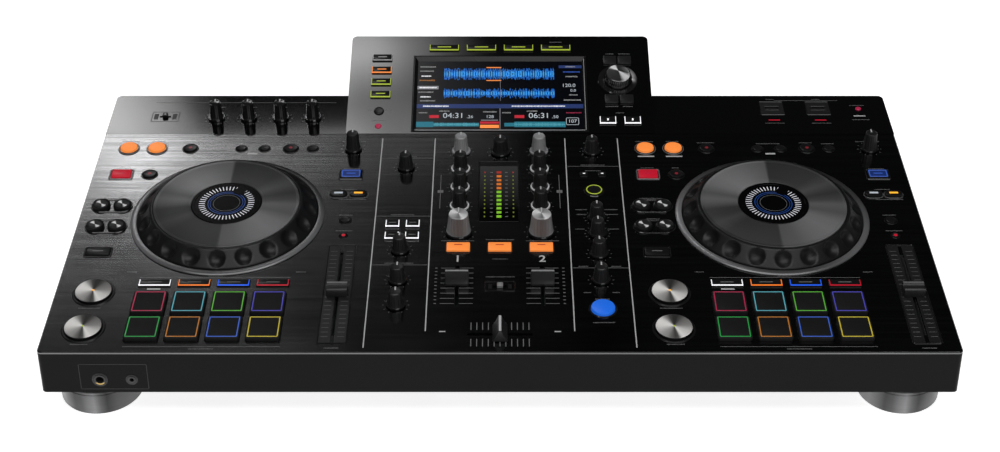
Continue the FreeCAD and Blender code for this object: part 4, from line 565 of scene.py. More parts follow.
@dataclass
class Piece:
    """Collects closed shapes on one surface and makes them one piece of the scene."""

    surface: Surface
    points: list[Vector] = field(default_factory=list)
    faces: list[tuple[int, ...]] = field(default_factory=list)
    slots: list[int] = field(default_factory=list)
    finishes: list[Finish] = field(default_factory=list)

    def paint(self, finish: Finish) -> None:
        """Give the newest faces a finish."""
        if finish not in self.finishes:
            self.finishes.append(finish)
        self.slots += [self.finishes.index(finish)] * (len(self.faces) - len(self.slots))

    def loft(self, loops: Sequence[Loop], finish: Finish, closed: bool = False) -> None:
        """Skin over loops of equal count.

        Args:
            loops: loops in order.
            finish: finish of the faces.
            closed: whether the last loop joins the first, in place of end caps.
        """
        start, count, rows = len(self.points), len(loops[0]), len(loops)
        for loop in loops:
            self.points.extend(loop)
        for row in range(rows if closed else rows - 1):
            low, high = start + row * count, start + (row + 1) % rows * count
            for index in range(count):
                after = (index + 1) % count
                self.faces.append((low + index, low + after, high + after, high + index))
        if not closed:
            self.faces.append(tuple(start + index for index in reversed(range(count))))
            self.faces.append(tuple(start + (rows - 1) * count + index for index in range(count)))
        self.paint(finish)

    def stack(self, centre: Point, size: Point, corner: float, levels: Sequence[Point], finish: Finish,
              closed: bool = False) -> None:
        """Skin over stacked outlines.

        Args:
            centre: middle on the surface.
            size: outer width and length.
            corner: outer corner radius.
            levels: inset and height of each outline.
            finish: finish of the faces.
            closed: whether the last outline joins the first.
        """
        loops = [rounded(centre, (size[0] - 2 * inset, size[1] - 2 * inset), corner - inset, height)
                 for inset, height in levels]
        count = min(len(loop) for loop in loops)
        self.loft([[loop[i * len(loop) // count] for i in range(count)] for loop in loops], finish, closed)

    def cap(self, centre: Point, size: Point, corner: float, top: float, finish: Finish, edge: float,
            dish: float) -> None:
        """Button cap with a rounded edge and a dish.

        Args:
            centre: middle on the surface.
            size: width and length.
            corner: corner radius.
            top: height of the cap.
            finish: finish of the faces.
            edge: radius of the top edge.
            dish: depth of the dish, or 0 for a flat cap.
        """
        levels = [(0.0, -2.0), (0.0, top - edge), (0.3 * edge, top - 0.3 * edge), (edge, top)]
        if dish:
            levels += [(1.8 * edge, top - 0.5 * dish), (0.25 * min(size), top - dish)]
        self.stack(centre, size, corner, levels, finish)

    def rim(self, centre: Point, size: Point, width: float, corner: float, low: float, high: float,
            finish: Finish) -> None:
        """Closed rectangular or round rim.

        Args:
            centre: middle on the surface.
            size: outer width and length.
            width: width of the rim.
            corner: outer corner radius.
            low: foot height.
            high: top height.
            finish: finish of the faces.
        """
        soft = min(0.3 * width, 0.5 * (high - low))
        self.stack(centre, size, corner, [(0.0, low), (0.0, high - soft), (soft, high), (width - soft, high),
                                          (width, high - soft), (width, low)], finish, closed=True)

    def turned(self, centre: Point, profile: Sequence[Point], finish: Finish, closed: bool = False,
               segments: int = 96, flutes: int = 0, flute_depth: float = 0.0) -> None:
        """Turned shape.

        Args:
            centre: axis on the surface.
            profile: radius and height, from the foot up.
            finish: finish of the faces.
            closed: whether the profile is a closed ring.
            segments: divisions round the axis.
            flutes: grip flutes round the axis.
            flute_depth: depth of the flutes.
        """
        angles = [math.tau * index / segments for index in range(segments)]
        loops = []
        for row, (radius, height) in enumerate(profile):
            cut = flute_depth if row in FLUTED_ROWS else 0.0
            loops.append([polar(centre, radius - cut * (0.5 - 0.5 * math.cos(flutes * angle)), angle, height)
                          for angle in angles])
        self.loft(loops, finish, closed)

    def bar(self, centre: Point, size: Point, low: float, high: float, finish: Finish,
            turn: float = 0.0) -> None:
        """Thin straight bar.

        Args:
            centre: middle on the surface.
            size: width and length.
            low: foot height.
            high: top height.
            finish: finish of the faces.
            turn: turn about its own middle.
        """
        cos, sin = math.cos(turn), math.sin(turn)
        ends = [(side * size[0] / 2, end * size[1] / 2) for side, end in CORNERS]
        self.loft([[Vector((centre[0] + x * cos - y * sin, centre[1] + x * sin + y * cos, height))
                    for x, y in ends]
                   for height in (low, high)], finish)

    def mark(self, centre: Point, size: Point, finish: Finish = PRINT) -> None:
        """Flat print on the surface."""
        self.bar(centre, size, -0.02, PRINT_LIFT, finish)

    def text(self, words: str, centre: Point, height: float, finish: Finish, base: float = 0.0,
             bold: float = 0.0) -> None:
        """Plain numbers laid flat on the surface.

        Args:
            words: digits and their separators.
            centre: middle on the surface.
            height: height of the digits.
            finish: finish of the faces.
            base: height of the surface under them.
            bold: share of the height that the strokes are widened by.
        """
        curve = bpy.data.curves.new("digits", "FONT")
        curve.body = words
        curve.size = height * 1.4
        curve.extrude = 0.03
        curve.offset = bold * height
        curve.align_x = "CENTER"
        curve.align_y = "CENTER"
        holder = stand("digits", curve)
        mesh = bpy.data.meshes.new_from_object(holder.evaluated_get(bpy.context.evaluated_depsgraph_get()))
        start, places = len(self.points), [vertex.co for vertex in mesh.vertices]
        self.points.extend(Vector((p.x + centre[0], p.y + centre[1], p.z + base + 0.03)) for p in places)
        self.faces.extend(tuple(start + index for index in face.vertices) for face in mesh.polygons)
        self.paint(finish)
        bpy.data.objects.remove(holder)
        bpy.data.meshes.remove(mesh)
        bpy.data.curves.remove(curve)

    def build(self, name: str, body: str, slot: str, *replaced: str) -> bpy.types.Object:
        """Make the piece, put it on its body and let it stand for CAD nodes.

        Args:
            name: name of the piece.
            body: body that it rides on.
            slot: material slot of the record.
            replaced: CAD nodes that it stands for.

        Returns:
            The finished object.
        """
        mesh = bpy.data.meshes.new(name)
        mesh.from_pydata([tuple(point) for point in self.points], [], self.faces)
        for index, face in enumerate(mesh.polygons):
            face.material_index = self.slots[index]
        work = bmesh.new()
        work.from_mesh(mesh)
        bmesh.ops.remove_doubles(work, verts=work.verts, dist=0.0005)
        bmesh.ops.recalc_face_normals(work, faces=work.faces)
        work.to_mesh(mesh)
        work.free()
        mesh.transform(self.surface.matrix())
        for finish in self.finishes:
            mesh.materials.append(WORKSHOP.material(finish))
        mesh.shade_smooth()
        mesh.set_sharp_from_angle(angle=math.radians(32))
        return settle(mesh, name, body, slot, *replaced)


def settle(mesh: bpy.types.Mesh, name: str, body: str, slot: str, *replaced: str) -> bpy.types.Object:
    """Link a finished mesh, put it on its body and hide the CAD nodes that it stands for.

    Args:
        mesh: mesh in the frame's metres.
        name: name of the piece.
        body: body that it rides on.
        slot: material slot of the record; not used.
        replaced: CAD nodes that it stands for.

    Returns:
        The finished object.
    """
    piece = stand(name, mesh)
    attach(piece, body)
    if replaced:
        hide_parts(*replaced)
    LOG.info("%s on %s: %d faces", name, body, len(mesh.polygons))
    return piece


def centred(finish: Finish, piece: Piece, centre: Point) -> Finish:
    """The same finish with its painted highlight streaks about a place of a piece's surface, where it has
    them.

    Args:
        finish: the finish.
        piece: piece that it is for.
        centre: middle of the painted streaks on the piece's surface.

    Returns:
        The finish with its centre set.
    """
    if finish.grain_and_painted_light not in PAINTED_STREAKS:
        return finish
    spot = piece.surface.matrix() @ Vector((*centre, 0.0))
    return replace(finish, name=f"{finish.name}_{round(centre[0])}_{round(centre[1])}", centre=tuple(spot))


class Pattern(Tree):
    """A Geometry Nodes tree that repeats a small bar on given places."""

    def __init__(self, name: str, **inputs: Socket) -> None:
        """Start a tree with its named inputs beside the places and the material."""
        super().__init__(bpy.data.node_groups.new(name, "GeometryNodeTree"))
        self.open({"Places": Socket.SHAPE, **inputs, "Material": Socket.MATERIAL}, {"Result": Socket.SHAPE})

    def line(self, **ends: bpy.types.NodeSocket) -> bpy.types.NodeSocket:
        """Row of points."""
        return self.node("GeometryNodeMeshLine", ends)

    def repeat(self, points: object, what: object, **more: object) -> bpy.types.NodeSocket:
        """What is repeated on points."""
        return self.node("GeometryNodeInstanceOnPoints", {"Points": points, "Instance": what, **more})

    def finish(self, instances: bpy.types.NodeSocket) -> None:
        """Put what is repeated on the places, realize it and give it its material."""
        real = self.node("GeometryNodeRealizeInstances", {0: self.repeat(self.inner["Places"], instances)})
        look = self.inner["Material"]
        self.close(self.node("GeometryNodeSetMaterial", {"Geometry": real, "Material": look}))

    def grow(self, surface: Surface, place: Sequence[float], finish: Finish,
             values: Values) -> bpy.types.Mesh:
        """Run the tree on a place of a surface.

        Args:
            surface: surface that the place lies on.
            place: across, along and out of the surface.
            finish: finish of the result.
            values: value of each named input.

        Returns:
            A plain mesh in the frame's metres.
        """
        seeds = bpy.data.meshes.new("places")
        seeds.from_pydata([tuple(place)], [], [])
        holder = stand("places", seeds)
        modifier = holder.modifiers.new("pattern", "NODES")
        modifier.node_group = self.tree
        given = {**values, "Material": WORKSHOP.material(finish)}
        for item in self.tree.interface.items_tree:
            if item.in_out == "INPUT" and item.name in given:
                modifier[item.identifier] = given[item.name]
        graph = bpy.context.evaluated_depsgraph_get()
        mesh = bpy.data.meshes.new_from_object(holder.evaluated_get(graph))
        mesh.transform(surface.matrix())
        bpy.data.objects.remove(holder)
        bpy.data.meshes.remove(seeds)
        return mesh


class Patterns:
    """The repeated patterns of the console."""

    def __init__(self) -> None:
        """Build the trees."""
        self.ring = self.build_ring()
        self.grid = self.build_grid()
        self.wave = self.build_wave()

    @staticmethod
    def build_ring() -> Pattern:
        """Bars round a circle, such as dial marks."""
        tree = Pattern("marks_round_a_dial", Count=Socket.WHOLE, Radius=Socket.NUMBER, Start=Socket.NUMBER,
                       Step=Socket.NUMBER, Bar=Socket.VECTOR)
        given = tree.inner
        turn = tree.math("MULTIPLY", given["Step"], tree.node("GeometryNodeInputIndex"))
        angle = tree.math("ADD", given["Start"], turn)
        place = tree.node("ShaderNodeCombineXYZ", {
            axis: tree.math("MULTIPLY", given["Radius"], tree.math(curve, angle))
            for axis, curve in (("X", "COSINE"), ("Y", "SINE"))})
        circle = tree.node("GeometryNodeSetPosition", {
            "Geometry": tree.line(Count=given["Count"]), "Position": place})
        bar = tree.node("GeometryNodeMeshCube", {"Size": given["Bar"]})
        tree.finish(tree.repeat(circle, bar, Rotation=tree.node("ShaderNodeCombineXYZ", {"Z": angle})))
        return tree

    @staticmethod
    def build_grid() -> Pattern:
        """Bars in rows and columns, such as lamps and scales."""
        tree = Pattern("bars_in_a_grid", Columns=Socket.WHOLE, Rows=Socket.WHOLE, Across=Socket.VECTOR,
                       Along=Socket.VECTOR, Bar=Socket.VECTOR)
        given = tree.inner
        bar = tree.node("GeometryNodeMeshCube", {"Size": given["Bar"]})
        for count, step in (("Columns", "Across"), ("Rows", "Along")):
            bar = tree.repeat(tree.line(Count=given[count], Offset=given[step]), bar)
        tree.finish(bar)
        return tree

    @staticmethod
    def build_wave() -> Pattern:
        """Row of bars of uneven height, as of a sound wave or of small print."""
        tree = Pattern("bars_of_a_wave", Count=Socket.WHOLE, Pitch=Socket.VECTOR, Bar=Socket.VECTOR,
                       Seed=Socket.WHOLE, Least=Socket.NUMBER)
        given = tree.inner
        row = tree.line(Count=given["Count"], Offset=given["Pitch"])
        tall = tree.node("FunctionNodeRandomValue", {"Seed": given["Seed"], 2: given["Least"]}, 1,
                         data_type="FLOAT")
        size = tree.node("ShaderNodeCombineXYZ", {"X": 1.0, "Y": tall, "Z": 1.0})
        tree.finish(tree.repeat(row, tree.node("GeometryNodeMeshCube", {"Size": given["Bar"]}), Scale=size))
        return tree

    def bars(self, surface: Surface, place: Sequence[float], finish: Finish, counts: tuple[int, int],
             steps: Point, bar: Sequence[float]) -> bpy.types.Mesh:
        """Grow a grid of bars.

        Args:
            surface: surface that they lie on.
            place: first bar across, along and out of the surface.
            finish: finish of the bars.
            counts: columns and rows.
            steps: pitch across and along.
            bar: size of a bar.

        Returns:
            A plain mesh in the frame's metres.
        """
        return self.grid.grow(surface, place, finish, {
            "Columns": counts[0], "Rows": counts[1], "Across": (steps[0], 0.0, 0.0),
            "Along": (0.0, steps[1], 0.0), "Bar": bar})

    def row(self, surface: Surface, place: Sequence[float], finish: Finish, count: int, pitch: float,
            bar: Point, seed: int, least: float) -> bpy.types.Mesh:
        """Grow a row of bars of uneven height.

        Args:
            surface: surface that they lie on.
            place: first bar across, along and out of the surface.
            finish: finish of the bars.
            count: number of bars.
            pitch: step from bar to bar.
            bar: width and height of the tallest bar.
            seed: seed of the heights.
            least: share of the lowest bar.

        Returns:
            A plain mesh in the frame's metres.
        """
        return self.wave.grow(surface, place, finish, {
            "Count": count, "Pitch": (pitch, 0.0, 0.0), "Bar": (*bar, 0.05), "Seed": seed, "Least": least})


@dataclass
class Console:
    """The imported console: its surfaces, deck centres and patterns."""

    joints: dict[str, dict]
    record: dict
    patterns: Patterns

    def __post_init__(self) -> None:
        """Work out the surfaces from the joints of the jog wheel and the browse knob."""
        jog, browse = self.joints["right_jog_spin"], self.joints["browse_knob_turn"]
        self.panel = self.surface(jog, (0.0, JOG_S))
        self.display = self.surface(browse, BROWSE_PLACE)
        self.decks = {side: self.panel.local(self.joints[f"{side}_jog_spin"]["pos_m"]).x
                      for side in ("left", "right")}

    @staticmethod
    def surface(joint: dict, place: Point) -> Surface:
        """Surface that a joint stands square on.

        Args:
            joint: joint of the frame.
            place: place of the joint on the surface.

        Returns:
            The surface.
        """
        axis, spot = joint["axis"], Vector(joint["pos_m"])
        tilt = math.atan2(-axis[1], axis[2])
        along = Vector((0.0, math.cos(tilt), math.sin(tilt)))
        origin = spot - along * place[1] * MM
        origin.x = 0.0
        return Surface(origin, tilt)

    @staticmethod
    def marks(name: str, meshes: Iterable[bpy.types.Mesh], slot: str) -> None:
        """Join grown meshes to one fixed piece.

        Args:
            name: name of the piece.
            meshes: the grown meshes.
            slot: material slot of the record.
        """
        work = bmesh.new()
        materials: list[bpy.types.Material] = []
        for mesh in meshes:
            start = len(work.faces)
            work.from_mesh(mesh)
            work.faces.ensure_lookup_table()
            material = next(item for item in mesh.materials if item)
            if material not in materials:
                materials.append(material)
            for face in work.faces[start:]:
                face.material_index = materials.index(material)
        whole = bpy.data.meshes.new(name)
        work.to_mesh(whole)
        work.free()
        for material in materials:
            whole.materials.append(material)
        settle(whole, name, "chassis", slot)


@dataclass
class Legends:
    """Small print in place of words: rows of fine strokes."""

    console: Console
    surface: Surface
    seed: int
    base: float = 0.0
    height: float = 1.3
    pitch: float = 0.62
    stroke: float = 0.36

    def row(self, across: float, along: float, width: float, finish: Finish = PRINT_DIM) -> bpy.types.Mesh:
        """Row of strokes.

        Args:
            across: middle of the row across the surface.
            along: middle of the row along the surface.
            width: length of the row.
            finish: finish of the strokes.

        Returns:
            The grown row.
        """
        count = max(2, round(width / self.pitch))
        self.seed += 1
        start = (across - (count - 1) * self.pitch / 2, along, self.base + 0.02)
        return self.console.patterns.row(self.surface, start, finish, count, self.pitch,
                                         (self.stroke, self.height), self.seed, 0.45)

    def build(self, name: str, rows: Iterable[tuple]) -> None:
        """Make the rows of print one piece."""
        self.console.marks(name, [self.row(*row) for row in rows], "panel")


@dataclass
class Button:
    """One button, with the pieces that its cap and its bezel go into."""

    caps: Piece
    bezels: Piece
    island: Island
    flange: float = 0.6

    def __post_init__(self) -> None:
        """Take the cap's size from its solid without the flange."""
        self.centre, self.top = self.island.centre, self.island.top
        self.size = self.smaller(2 * self.flange, self.island.size)
        self.radius = self.size[0] / 2

    def smaller(self, less: float, size: Point | None = None) -> Point:
        """The cap's size, or another, less an amount."""
        wide, long = size or self.size
        return wide - less, long - less

    def cap(self, corner: float, finish: Finish, edge: float, dish: float = 0.0) -> None:
        """Cap in the size of its solid."""
        self.caps.cap(self.centre, self.size, corner, self.top, finish, edge, dish)

    def bar(self, size: Point, finish: Finish, lift: float = 0.06, up: float = 0.0) -> None:
        """Bar lying on the cap."""
        self.caps.bar((self.centre[0], self.centre[1] + up), size, self.top - 0.1, self.top + lift, finish)

    def frame(self, size: Point, width: float, corner: float, sink: float, finish: Finish) -> None:
        """Lit frame lying on the cap."""
        self.caps.rim(self.centre, size, width, corner, self.top - sink, self.top + LAMP_LIFT, finish)

    def bracket(self, finish: Finish, less: float = 0.0) -> None:
        """Lit bracket along the front and the two sides of the cap."""
        width, side = 1.5, 0.7
        size, low, high = self.smaller(less), self.top - 0.2, self.top + LAMP_LIFT
        self.caps.bar((self.centre[0], self.centre[1] - size[1] / 2 + width / 2), (size[0], width), low, high,
                      finish)
        for end in (-1, 1):
            self.caps.bar((self.centre[0] + end * (size[0] - side) / 2, self.centre[1]), (side, size[1]), low,
                          high, finish)

    def lens(self, profile: Iterable[Point], finish: Finish, segments: int = 24) -> None:
        """Turned shape on the cap, its heights counted from the cap's top."""
        levels = [(radius, self.top + rise) for radius, rise in profile]
        self.caps.turned(self.centre, levels, finish, segments=segments)

    def bezel(self, size: Point, width: float, corner: float, high: float,
              finish: Finish = KNOB_GLOSS) -> None:
        """Rim on the panel round the cap."""
        self.bezels.rim(self.centre, size, width, corner, -1.0, high, finish)


def buttons_of(node: str, surface: Surface) -> tuple[Piece, Piece, list[Button]]:
    """Buttons of a CAD node.

    Args:
        node: name of the CAD node.
        surface: surface that they stand on.

    Returns:
        The piece of their caps, the piece of their bezels, and the buttons.
    """
    caps, bezels = Piece(surface), Piece(surface)
    return caps, bezels, [Button(caps, bezels, island) for island in islands(node, surface)]


@dataclass(frozen=True)
class KnobStyle:
    """Shape and finishes of a knob."""

    skirt_finish: Finish = KNOB_GLOSS
    grip_finish: Finish = KNOB
    top_finish: Finish = KNOB
    grip_foot: float = 0.8
    top: float = 0.66
    flutes: int = 16
    flute_depth: float = 0.35


class KnobStyles(Enum):
    """The knob styles of the console."""

    PLAIN = KnobStyle()
    STRIP = KnobStyle(DARK_CHROME, KNOB_GLOSS, KNOB_GLOSS, 0.74, 0.64, 12, 0.25)
    # Tone knob skirts carry painted highlights at their sides.
    TONE = KnobStyle(CRESCENT, KNOB, KNOB, 0.74, 0.64, 16, 0.3)
    TRIM = KnobStyle(KNOB_LIGHT, KNOB_LIGHT, KNOB_LIGHT, 0.8, 0.64, 16, 0.3)
    # The filter knob's grip and top carry painted highlights.
    FILTER = KnobStyle(KNOB_GLOSS, KNOB_TURNED_PAINTED, BRIGHT, 0.86, 0.7, 20, 0.3)
    # The browse knob's top carries painted highlights.
    BROWSE = KnobStyle(KNOB_GLOSS, DARK_CHROME, KNOB_CHROME_PAINTED, 0.96, 0.9, 36, 0.3)


@dataclass
class Knobs:
    """All round knobs with their pointers and the scales round them."""

    console: Console
    scale_gap: float = 2.4

    @staticmethod
    def style(node: str, along: float) -> KnobStyle:
        """Style of a knob by what it does and where it stands.

        Args:
            node: CAD node of the knob.
            along: place along the panel.

        Returns:
            The style.
        """
        if "trim" in node:
            return KnobStyles.TRIM.value
        if node.endswith(("_high_knob", "_mid_knob", "_low_knob")) and not node.startswith("mic"):
            return KnobStyles.TONE.value
        if "filter" in node:
            return KnobStyles.FILTER.value
        if node == "browse_knob":
            return KnobStyles.BROWSE.value
        return KnobStyles.STRIP.value if along > 306 else KnobStyles.PLAIN.value

    def make(self, node: str) -> tuple[Surface, Vector, float]:
        """Make one knob.

        Args:
            node: its CAD node, which has a body of the same name.

        Returns:
            Its surface, its place on it and its skirt radius.
        """
        surface = self.console.display if node == "browse_knob" else self.console.panel
        place = surface.local(self.console.joints[f"{node}_turn"]["pos_m"])
        size = islands(node, surface)[0]
        style = self.style(node, place.y)
        skirt, high = size.size[0] / 2, size.top
        foot, top = skirt * style.grip_foot, skirt * style.top
        centre = (place.x, place.y)
        piece = Piece(surface)
        skirt_finish, grip_finish, top_finish = (
            centred(finish, piece, centre) for finish in (style.skirt_finish, style.grip_finish,
                                                          style.top_finish))
        piece.turned(centre, [(3.0, -11.0), (3.0, 0.5), (skirt - 0.4, 0.4), (skirt, 0.8), (skirt, 1.9),
                              (skirt - 0.3, 2.3), (skirt - 1.1, 2.3), (skirt - 1.3, 2.0), (foot - 0.4, 2.0)],
                     skirt_finish, segments=64)
        piece.turned(centre, [(skirt - 1.3, 1.9), (skirt - 1.4, 2.2), (foot - 0.3, 2.4)], grip_finish,
                     segments=64)
        slope = [(foot, 2.2), (foot, 2.9), (0.75 * foot + 0.25 * top, 0.25 * high + 2.2),
                 (top + 0.1, high - 1.6), (top, high - 1.2)]
        piece.turned(centre, slope, grip_finish, segments=style.flutes * 8, flutes=style.flutes,
                     flute_depth=style.flute_depth)
        piece.turned(centre, [(top - 0.2, high - 1.6), (top, high - 1.1), (top - 0.25, high - 0.4),
                              (top - 0.8, high - 0.05), (top - 1.6, high - 0.25)], top_finish, segments=64)
        if node != "browse_knob":
            self.pointer(piece, centre, top, foot, high)
        else:
            piece.turned(centre, [(0.5 * top, high - 0.4), (0.48 * top, high - 0.15), (0.1, high - 0.02)],
                         top_finish)
        piece.build(f"{node}_look", node, "knob", node)
        return surface, place, skirt

    @staticmethod
    def pointer(piece: Piece, centre: Point, top: float, foot: float, high: float) -> None:
        """White pointer line over the top and down the side of a knob.

        Args:
            piece: piece of the knob.
            centre: axis of the knob.
            top: radius of its top.
            foot: radius of its grip at the foot.
            high: height of the knob.
        """
        piece.bar((centre[0], centre[1] + 0.62 * top), (1.2, 0.76 * top), high - 0.6, high - 0.02, PRINT)
        loops = []
        for height, reach in ((3.2, foot + 0.04), (high - 1.6, top + 0.12), (high - 0.5, top - 0.1)):
            loops.append([Vector((centre[0] + side * 0.6, centre[1] + reach + out, height))
                          for side, out in ((1, 0.06), (-1, 0.06), (-1, -0.8), (1, -0.8))])
        piece.loft(loops, PRINT)

    def build(self) -> None:
        """Make every knob and the scale marks round it."""
        scales = []
        names = sorted(name[:-5] for name in self.console.joints if name.endswith("_knob_turn"))
        for node in names:
            surface, place, skirt = self.make(node)
            if node == "browse_knob":
                collar = Piece(surface)
                collar.turned((place.x, place.y), [(13.0, 0.0), (18.7, 0.0), (18.7, 0.7), (17.9, 1.3),
                                                   (14.2, 0.9), (13.0, 0.5)], KNOB_GLOSS, closed=True)
                collar.build("browse_collar", "chassis", "knob")
                continue
            stepped = node in ("beat_effect_knob", "effect_channel_knob")
            count = 13 if stepped else 11
            sweep = math.radians(270 if stepped else 300)
            scales.append(self.console.patterns.ring.grow(surface, (place.x, place.y, 0.02), PRINT_DIM, {
                "Count": count, "Radius": skirt + self.scale_gap, "Start": math.pi / 2 - sweep / 2,
                "Step": sweep / (count - 1), "Bar": (1.3, 0.35, 0.05)}))
        self.console.marks("knob_scales", scales, "panel")


@dataclass
class Jog:
    """Jog wheel with ring, dimpled flank, spun plate and lit centre."""

    console: Console
    side: str
    outer: float = 77.3
    rim: float = 65.05
    shoulder: float = 2.5
    high: float = 14.3
    bore: float = 30.4
    dimples: int = 20
    ball: float = 10.0
    bite: float = 3.2
    rows: int = 14
    segments: int = 400

    @property
    def centre(self) -> Point:
        """Middle of the wheel on the panel."""
        return self.console.decks[self.side], JOG_S

    def dent(self, angle: float, share: float) -> float:
        """Depth of the dimples at a place of the flank.

        Args:
            angle: place round the wheel.
            share: place up the flank, from 0 to 1.

        Returns:
            Depth along the flank's normal.
        """
        run, rise = self.outer - self.rim, self.high - self.shoulder
        step = math.tau / self.dimples
        off = (angle + step / 2) % step - step / 2
        up = (share - 0.5) * math.hypot(run, rise)
        radius = self.outer + (self.rim - self.outer) * share
        apart = math.hypot(radius * off, up)
        reach = math.sqrt(self.ball ** 2 - (self.ball - self.bite) ** 2)
        if apart >= reach:
            return 0.0
        return math.sqrt(self.ball ** 2 - apart ** 2) - (self.ball - self.bite)

    def wheel(self) -> None:
        """Wheel body with the dimpled flank."""
        piece = Piece(self.console.panel)
        run, rise = self.outer - self.rim, self.high - self.shoulder
        length = math.hypot(run, rise)
        normal = (rise / length, run / length)
        fixed = [(self.bore, -5.9), (self.outer - 0.4, -5.9), (self.outer, -5.5),
                 (self.outer, self.shoulder - 0.3)]
        crown = [(self.rim - 0.6, self.high), (63.4, self.high), (63.05, self.high - 0.35), (63.05, 11.7),
                 (self.bore, 11.7)]
        angles = [math.tau * step / self.segments for step in range(self.segments)]
        low, top = ([[polar(self.centre, radius, angle, height) for angle in angles]
                     for radius, height in part]
                    for part in (fixed, crown))
        flank = []
        for row in range(self.rows + 1):
            share = 0.01 + 0.96 * row / self.rows
            radius, height = self.outer - run * share, self.shoulder + rise * share
            dents = [self.dent(angle, share) for angle in angles]
            flank.append([polar(self.centre, radius - dent * normal[0], angle, height - dent * normal[1])
                          for angle, dent in zip(angles, dents)])
        piece.loft(low + flank + top, WHEEL, closed=True)
        piece.build(f"{self.side}_wheel_look", f"{self.side}_jog", "jog_wheel", f"{self.side}_jog_wheel")

    def plate(self) -> None:
        """Spun top plate with painted highlight wedges."""
        piece = Piece(self.console.panel)
        low, high = 11.9, 14.75
        piece.turned(self.centre, [
            (self.bore, low), (62.6, low), (62.6, high - 0.4), (62.2, high), (60.4, high),
            (60.2, high - 0.12), (59.9, high - 0.12), (59.7, high), (33.4, high), (33.2, high - 0.15),
            (32.6, high - 0.15), (self.bore + 0.5, high - 0.3), (self.bore, high - 0.7)],
            centred(PLATE, piece, self.centre), closed=True, segments=192)
        piece.build(f"{self.side}_plate_look", f"{self.side}_jog", "jog_top", f"{self.side}_jog_plate")

    def dial(self) -> None:
        """Fixed lit display in the middle."""
        piece = Piece(self.console.panel)
        top = self.high
        piece.turned(self.centre, [(30.0, -12.0), (30.0, top - 0.4), (29.5, top), (27.5, top),
                                   (27.2, top - 0.2), (0.2, top - 0.2)], DIAL_GLASS, segments=128)
        face = top - 0.2
        for outer, width, finish in ((16.3, 0.8, DIAL_BLUE), (14.3, 0.6, DIAL_BLUE), (11.6, 0.4, PRINT_DIM)):
            piece.rim(self.centre, (2 * outer, 2 * outer), width, outer, face - 0.05, face + 0.08, finish)
        piece.bar((self.centre[0] + 10.6, self.centre[1] + 19.0), (9.5, 13.0), face, face + 0.12, DIAL_GLASS,
                  math.radians(-29))
        stood_for = ["jog_displays"] if self.side == "left" else []
        piece.build(f"{self.side}_dial_look", "chassis", "gloss", *stood_for)
        gap, count = math.radians(24), 44
        start = math.radians(61) + gap / 2
        values = {"Count": count, "Radius": 21.2, "Start": start, "Step": (math.tau - gap) / (count - 1),
                  "Bar": (5.2, 0.8, 0.1)}
        ring, place = self.console.patterns.ring, (*self.centre, face + 0.06)
        dashes = ring.grow(self.console.panel, place, DIAL_WHITE, values)
        self.console.marks(f"{self.side}_dial_dashes", [dashes], "gloss")

    def build(self) -> None:
        """Make the moving pieces and the dial."""
        self.wheel()
        self.plate()
        self.dial()


class DeckButton(Enum):
    """Kinds of deck buttons."""

    LOOP = "loop"
    SEARCH = "search"
    TRANSPORT = "transport"
    ROUND = "round"
    QUANTISE = "quantise"
    SHIFT = "shift"
    SYNC = "sync"
    TEMPO = "tempo"
    MODE = "mode"


